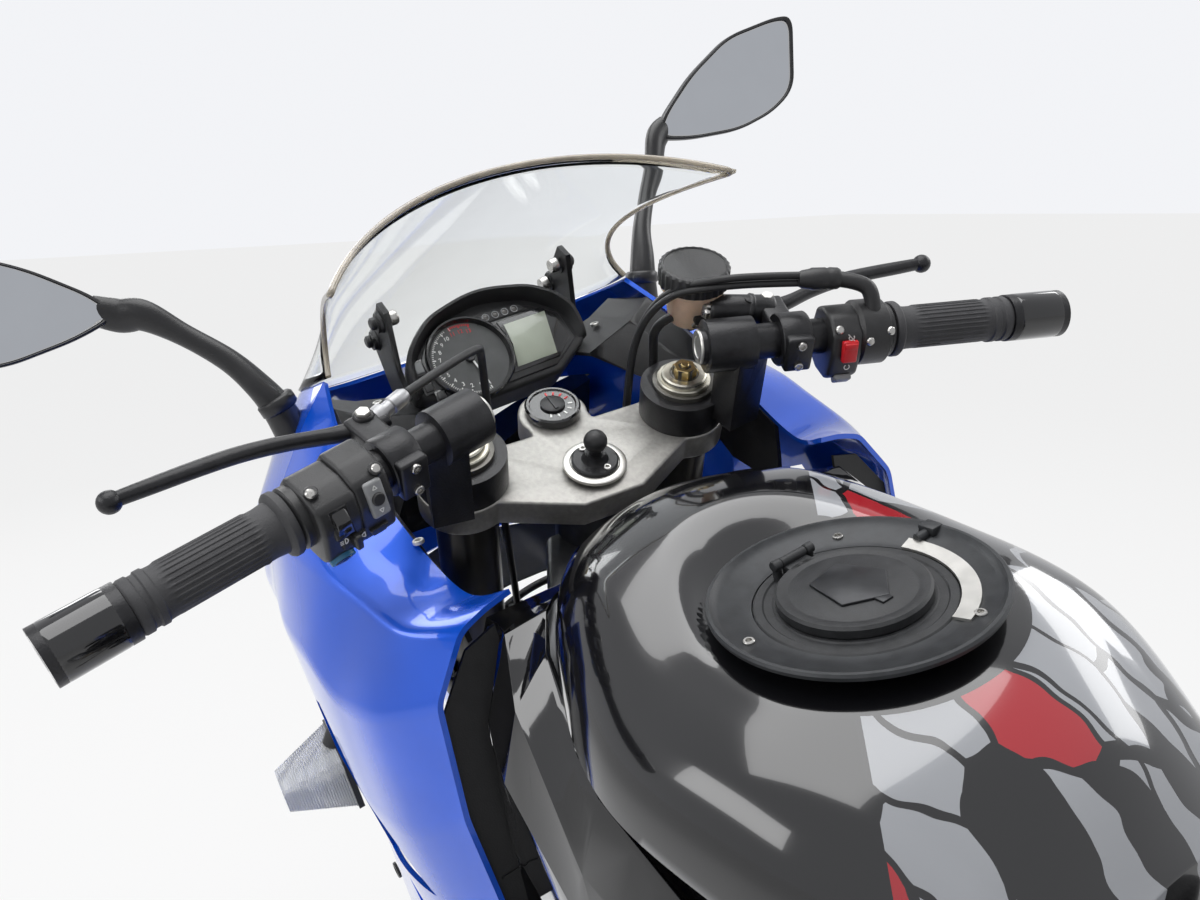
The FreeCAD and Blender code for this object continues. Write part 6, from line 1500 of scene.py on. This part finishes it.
# The wheels are cast alloy under satin black powder coat, with five pairs of spokes; each has a valve.
# The axles are hollow steel with hexagon nuts.
rim_black = finish("rim_coat", (0.014, 0.014, 0.015), 0.3, metal=0.3, coat=0.4, mottle=0.15, scale=90)
axle_steel = finish("axle_steel", (0.45, 0.44, 0.43), 0.32, metal=1.0, mottle=0.12, scale=150)
for end in ("front", "rear"):
    eased(f"{end}_rim", 2.2, rim_black, f"{end}_wheel", 2, 32)
    drawn(f"{end}_valve", HUBS[end] @ turned(36, "Y"), black_rubber, f"{end}_wheel", "tyre_rubber",
          (rod, (0, 0, 197), (0, 0, 168), 3.4, 0.8, 16))
eased("front_axle", 1.0, axle_steel, "steering", 2, 30)
eased("rear_axle", 1.0, axle_steel, "root", 2, 30)

# Brake discs are stainless steel plates drilled all over, floating on black carriers by round buttons;
# the rear sprocket is a toothed steel plate with lightening holes.
disc_steel = finish("disc_steel", (0.4, 0.4, 0.4), 0.3, metal=1.0, mottle=0.12, scale=200, grain=0.15)
LIE_FLAT = turned(-90, "X")


def plate_of(name, outline, holes, half, ease=0.4):
    """A flat plate about local z with round holes, from its outline and rows of x, y, radius."""
    line = bpy.data.curves.new(name, "CURVE")
    line.dimensions, line.fill_mode, line.extrude, line.bevel_depth = "2D", "BOTH", half - ease, ease
    line.bevel_resolution = 1
    loops = [outline] + [[(x + r * cos(a), y + r * sin(a)) for a in circle(max(10, int(r * 1.6)))]
                         for x, y, r in holes]
    for loop in loops:
        spline = line.splines.new("POLY")
        spline.points.add(len(loop) - 1)
        for point, at in zip(spline.points, loop):
            point.co = (at[0], at[1], 0, 1)
        spline.use_cyclic_u = True
    return flat_mesh(name, line)


# name, hub, body, place along the axle, radius, band, hub radius, nodes
DISCS = [("disc_left", FRONT_HUB, "front_wheel", 62, 150, 34, 36, ["front_discs"]),
         ("disc_right", FRONT_HUB, "front_wheel", -62, 150, 34, 36, []),
         ("disc_rear", REAR_HUB, "rear_wheel", -80, 125, 30, 34, ["rear_disc"])]
for name, hub, body, y, radius, band, hub_r, nodes in DISCS:
    holes = [(0, 0, radius - band)]
    for k in range(30):
        a = 2 * pi * k / 30
        for share, shift in ((0.25, 0), (0.5, 0.07), (0.75, 0.14)):
            r = radius - band * share
            holes.append((r * cos(a + shift), r * sin(a + shift), 2.6))
    face = hub @ Matrix.Translation((0, y, 0)) @ LIE_FLAT
    made_of(plate_of(name, ring_of(radius, 180), holes, 2.4), name, face, disc_steel, body, nodes)
    carrier = plate_of(name + "_c", ring_of(radius - band - 5, 150, 4.5, 10), [(0, 0, hub_r)]
                       + [((hub_r + 32) * cos(0.314 + 0.628 * k), (hub_r + 32) * sin(0.314 + 0.628 * k), 11)
                          for k in range(10)], 2.2, 0.8)
    made_of(carrier, name + "_carrier", face, rim_black, body, ())
    button = bmesh.new()
    lathe(button, [(0, -3.4), (5.4, -3.4), (6.4, -2.6), (6.4, 2.6), (5.4, 3.4), (0, 3.4)], (0, 0, 0),
          (0, 0, 1), 20)
    around(button, name + "_buttons", 10, radius - band - 1, face, axle_steel, body)
TEETH, SPROCKET_R, TOOTH = 43, 99.0, (3.2, 3.2, -1, -3.4, -3.4, -1)
teeth = []
for k, a in enumerate(circle(TEETH * 6)):
    r = SPROCKET_R + TOOTH[k % 6]
    teeth.append((r * cos(a), r * sin(a)))
light = [(0, 0, 38)] + [(70 * cos(1.047 * k), 70 * sin(1.047 * k), 13) for k in range(6)]
CHAIN_Y = 110.0
chain_side = REAR_HUB @ Matrix.Translation((0, CHAIN_Y, 0)) @ LIE_FLAT
made_of(plate_of("sprocket", teeth, light, 2.5), "sprocket_plate", chain_side, disc_steel, "rear_wheel",
        ["rear_sprocket"])
around(socket_screw(7, 5), "sprocket_nuts", 6, 52, chain_side @ Matrix.Translation((0, 0, 2.4)), axle_steel,
       "rear_wheel", 30)

# The drive chain is a steel roller chain: pairs of waisted side plates on pins and rollers, run round
# both sprockets by geometry nodes, two pitches to each repeat.
CHAIN_A, CHAIN_B = Vector((640, 0, 415)), Vector((0, 0, REAR_AXLE_UP))
CHAIN_R1, CHAIN_R2, CHAIN_REPEATS = 43.0, 103.6, 55
span = CHAIN_A - CHAIN_B
lean = acos((CHAIN_R2 - CHAIN_R1) / span.length)
base = atan2(span.z, span.x)
loop = [CHAIN_A + Vector((cos(base + a), 0, sin(base + a))) * CHAIN_R1
        for a in (lean - 2 * lean * k / 12 for k in range(13))]
loop += [CHAIN_B + Vector((cos(base + a), 0, sin(base + a))) * CHAIN_R2
         for a in (-lean - (2 * pi - 2 * lean) * k / 30 for k in range(31))]
chain_line = bpy.data.curves.new("chain_line", "CURVE")
chain_line.dimensions = "3D"
spline = chain_line.splines.new("POLY")
spline.points.add(len(loop) - 1)
for point, at in zip(spline.points, loop):
    point.co = (*(BIKE @ (at + Vector((0, CHAIN_Y, 0)))), 1)
spline.use_cyclic_u = True
link = bmesh.new()
for x, inner, outer in ((0, 3.8, 5.4), (15.9, 5.6, 7.0)):
    for side in (1, -1):
        slab(link, [(x + 14.2 * cos(a), side * inner, (4.6 + 1.8 * cos(a) ** 2) * sin(a) * 1.15)
                    for a in circle(16)], (0, side * (outer - inner), 0), 0)
for x in (-8, 8):
    lathe(link, [(0, -3.7), (5, -3.7), (5, 3.7), (0, 3.7)], (x, 0, 0), (0, 1, 0), 12)
    lathe(link, [(0, -7), (2.4, -7), (2.4, 7), (0, 7)], (x, 0, 0), (0, 1, 0), 10)
link.transform(Matrix.Scale(0.001, 4))
bmesh.ops.recalc_face_normals(link, faces=link.faces)
link_piece = placed("chain_link", mesh_from(link, "chain_link"))
chain_steel = finish("chain_steel", (0.3, 0.28, 0.24), 0.38, metal=1.0, mottle=0.3, scale=220)
tree = bpy.data.node_groups.new("links_on_a_path", "GeometryNodeTree")
for label, kind in (("Path", "NodeSocketGeometry"), ("Link", "NodeSocketObject"), ("Count", "NodeSocketInt"),
                    ("Across", "NodeSocketVector"), ("Material", "NodeSocketMaterial")):
    tree.interface.new_socket(label, in_out="INPUT", socket_type=kind)
tree.interface.new_socket("Geometry", in_out="OUTPUT", socket_type="NodeSocketGeometry")
new, join = tree.nodes.new, tree.links.new
given, out = new("NodeGroupInput"), new("NodeGroupOutput")
evenly, piece = new("GeometryNodeResampleCurve"), new("GeometryNodeObjectInfo")
copies, tangent = new("GeometryNodeInstanceOnPoints"), new("GeometryNodeInputTangent")
turn_to, level_out = (new("FunctionNodeAlignRotationToVector") for _ in range(2))
turn_to.axis, level_out.axis, level_out.pivot_axis = "X", "Y", "X"
real, dress = new("GeometryNodeRealizeInstances"), new("GeometryNodeSetMaterial")
for output, socket in ((given.outputs["Path"], evenly.inputs["Curve"]),
                       (given.outputs["Count"], evenly.inputs["Count"]),
                       (evenly.outputs[0], copies.inputs["Points"]),
                       (given.outputs["Link"], piece.inputs["Object"]),
                       (piece.outputs["Geometry"], copies.inputs["Instance"]),
                       (tangent.outputs[0], turn_to.inputs["Vector"]),
                       (turn_to.outputs[0], level_out.inputs["Rotation"]),
                       (given.outputs["Across"], level_out.inputs["Vector"]),
                       (level_out.outputs[0], copies.inputs["Rotation"]),
                       (copies.outputs[0], real.inputs[0]), (real.outputs[0], dress.inputs["Geometry"]),
                       (given.outputs["Material"], dress.inputs["Material"]), (dress.outputs[0], out.inputs[0])):
    join(output, socket)
chain = placed("chain_links", chain_line)
change = chain.modifiers.new("links", "NODES")
change.node_group = tree
wanted = {"Link": link_piece, "Count": CHAIN_REPEATS + 1, "Across": tuple(bike_left), "Material": chain_steel}
for item in tree.interface.items_tree:
    if item.in_out == "INPUT" and item.name in wanted:
        change[item.identifier] = wanted[item.name]
links = evaluated(chain)
bpy.data.objects.remove(chain)
bpy.data.objects.remove(link_piece)
shaded(links)
if not links.materials:
    links.materials.append(chain_steel)
on_body(placed("chain_links", links), "root", ["drive_chain"])

# Brake calipers are cast blocks in satin black; the front ones are carried by the fork legs, and so is
# the front mudguard, a thin blue shell.
caliper_black = finish("caliper_coat", (0.03, 0.03, 0.032), 0.38, metal=0.4, mottle=0.2, scale=140, grain=0.2)
eased("front_calipers", 4.0, caliper_black, "steering", 3, 38)
eased("rear_caliper", 3.0, caliper_black, "root", 3, 38)
eased("front_fender", 1.0, blue_paint, "steering", 2, 30)

# The engine is an inline four cast in aluminium under grey paint, finned on its cylinders, with round
# covers on both sides held by rings of screws.
engine_grey = finish("engine_paint", (0.055, 0.056, 0.058), 0.42, metal=0.5, mottle=0.25, scale=70,
                     grain=0.35, grain_scale=300)
eased("engine", 2.0, engine_grey, "root", 2, 34)
for name, x, z, y, radius, count, foot in (("alternator", 800, 352, 190, 62, 8, 10),
                                           ("clutch", 720, 360, -206, 78, 10, 8),
                                           ("cam", 888, 350, -166, 47, 5, 0)):
    face = BIKE @ Matrix.Translation((x, y, z)) @ turned(-90 if y > 0 else 90, "X")
    around(socket_screw(4.6, 4.4), f"{name}_cover_screws", count, radius, face, screw_steel, "root", 12)
    drawn(f"{name}_cover_boss", face, caliper_black, "root", "engine_metal",
          (lathe, [(0, 0), (radius * 0.52, 0), (radius * 0.5, 3), (radius * 0.3, 4), (0, 4.4)], (0, 0, foot),
           (0, 0, 1), 48))

# Four steel pipes run from the head into a box under the engine, straw coloured by the heat, and on
# to a brushed silencer on each side.
pipe_steel = finish("pipe_steel", (0.4, 0.34, 0.27), 0.3, metal=1.0, mottle=0.35, scale=14, grain=0.1)
eased("exhaust_headers", 1.5, pipe_steel, "root", 2, 30)
silencer_coat = finish("silencer_metal", (0.38, 0.38, 0.39), 0.34, metal=1.0, mottle=0.12, scale=60,
                       grain=0.25, grain_scale=260)
eased("silencers", 2.0, silencer_coat, "root", 2, 30)

# The radiator is an aluminium core of thin fins between side tanks, painted black.
radiator_black = finish("radiator_black", (0.02, 0.02, 0.021), 0.5, metal=0.3, mottle=0.2, scale=100)
eased("radiator", 1.5, radiator_black, "root", 2, 30)
fins = bmesh.new()
for k in range(54):
    y = -145 + 290 * k / 53
    slab(fins, [(1092.6, y - 0.5, 458), (1092.6, y + 0.5, 458), (1095, y + 0.5, 457.6),
                (1095, y - 0.5, 457.6)], (34, 0, 231), 0)
made_of(fins, "radiator_fins", BIKE, pale_alloy, "root", ())

# The frame and swingarm are fabricated aluminium beams in satin silver-grey; the seat rails are black
# round tube. The rear spring is a red coil round its damper, and the side stand is black steel.
frame_coat = finish("frame_coat", (0.09, 0.092, 0.096), 0.4, metal=0.6, mottle=0.2, scale=90, grain=0.2)
eased("frame", 2.5, frame_coat, "root", 2, 34)
eased("swingarm", 3.0, frame_coat, "root", 3, 34)
eased("subframe", 0.8, dark_coat, "root", 2, 34)
eased("shock", 1.0, finish("damper_metal", (0.2, 0.2, 0.21), 0.3, metal=0.9, mottle=0.1), "root", 2, 34)
SHOCK_LOW, SHOCK_HIGH, COILS = Vector((462, 0, 418)), Vector((622, 0, 588)), 6
shock_way = (SHOCK_HIGH - SHOCK_LOW).normalized()
side_way = Vector((0, 1, 0))
turn_way = shock_way.cross(side_way)
coil = [SHOCK_LOW + shock_way * (40 + (150 * k / (COILS * 12))) + (side_way * cos(radians(30 * k))
        + turn_way * sin(radians(30 * k))) * 31 for k in range(COILS * 12 + 1)]
spring_red = finish("spring_red", (0.5, 0.02, 0.02), 0.3, coat=0.5, mottle=0.1)
hose("shock_spring", coil, 5.2, BIKE, spring_red, "root")
rest_alloy = finish("rest_metal", (0.16, 0.16, 0.165), 0.4, metal=0.7, mottle=0.2, scale=120, grain=0.2)
eased("footrests", 1.6, rest_alloy, "root", 2, 34)
eased("pillion_footrests", 1.6, rest_alloy, "root", 2, 34)
eased("side_stand", 1.4, dark_coat, "side_stand", 2, 34)
for name, flip in HALVES.items():
    drawn(f"peg_rubber_{name}", flip, black_rubber, "root", "rest_metal",
          (lathe, [(12.2, 0)] + [p for k in range(11) for p in ((14.6, 1 + 6 * k), (14.6, 4.4 + 6 * k),
            (13.2, 4.9 + 6 * k), (13.2, 6.4 + 6 * k))] + [(12.2, 68), (12.2, 0)], (450, 182, 350), (0, 1, 0), 24))

# A small rubber guide on the front of the lower yoke holds the clutch cable's end.
drawn("cable_guide", STEER, black_rubber, "steering", "hose_rubber",
      (slab, [(56, 36, 788), (77, 36, 788), (77, 52, 788), (56, 52, 788)], (0, 0, 14), 1.5))
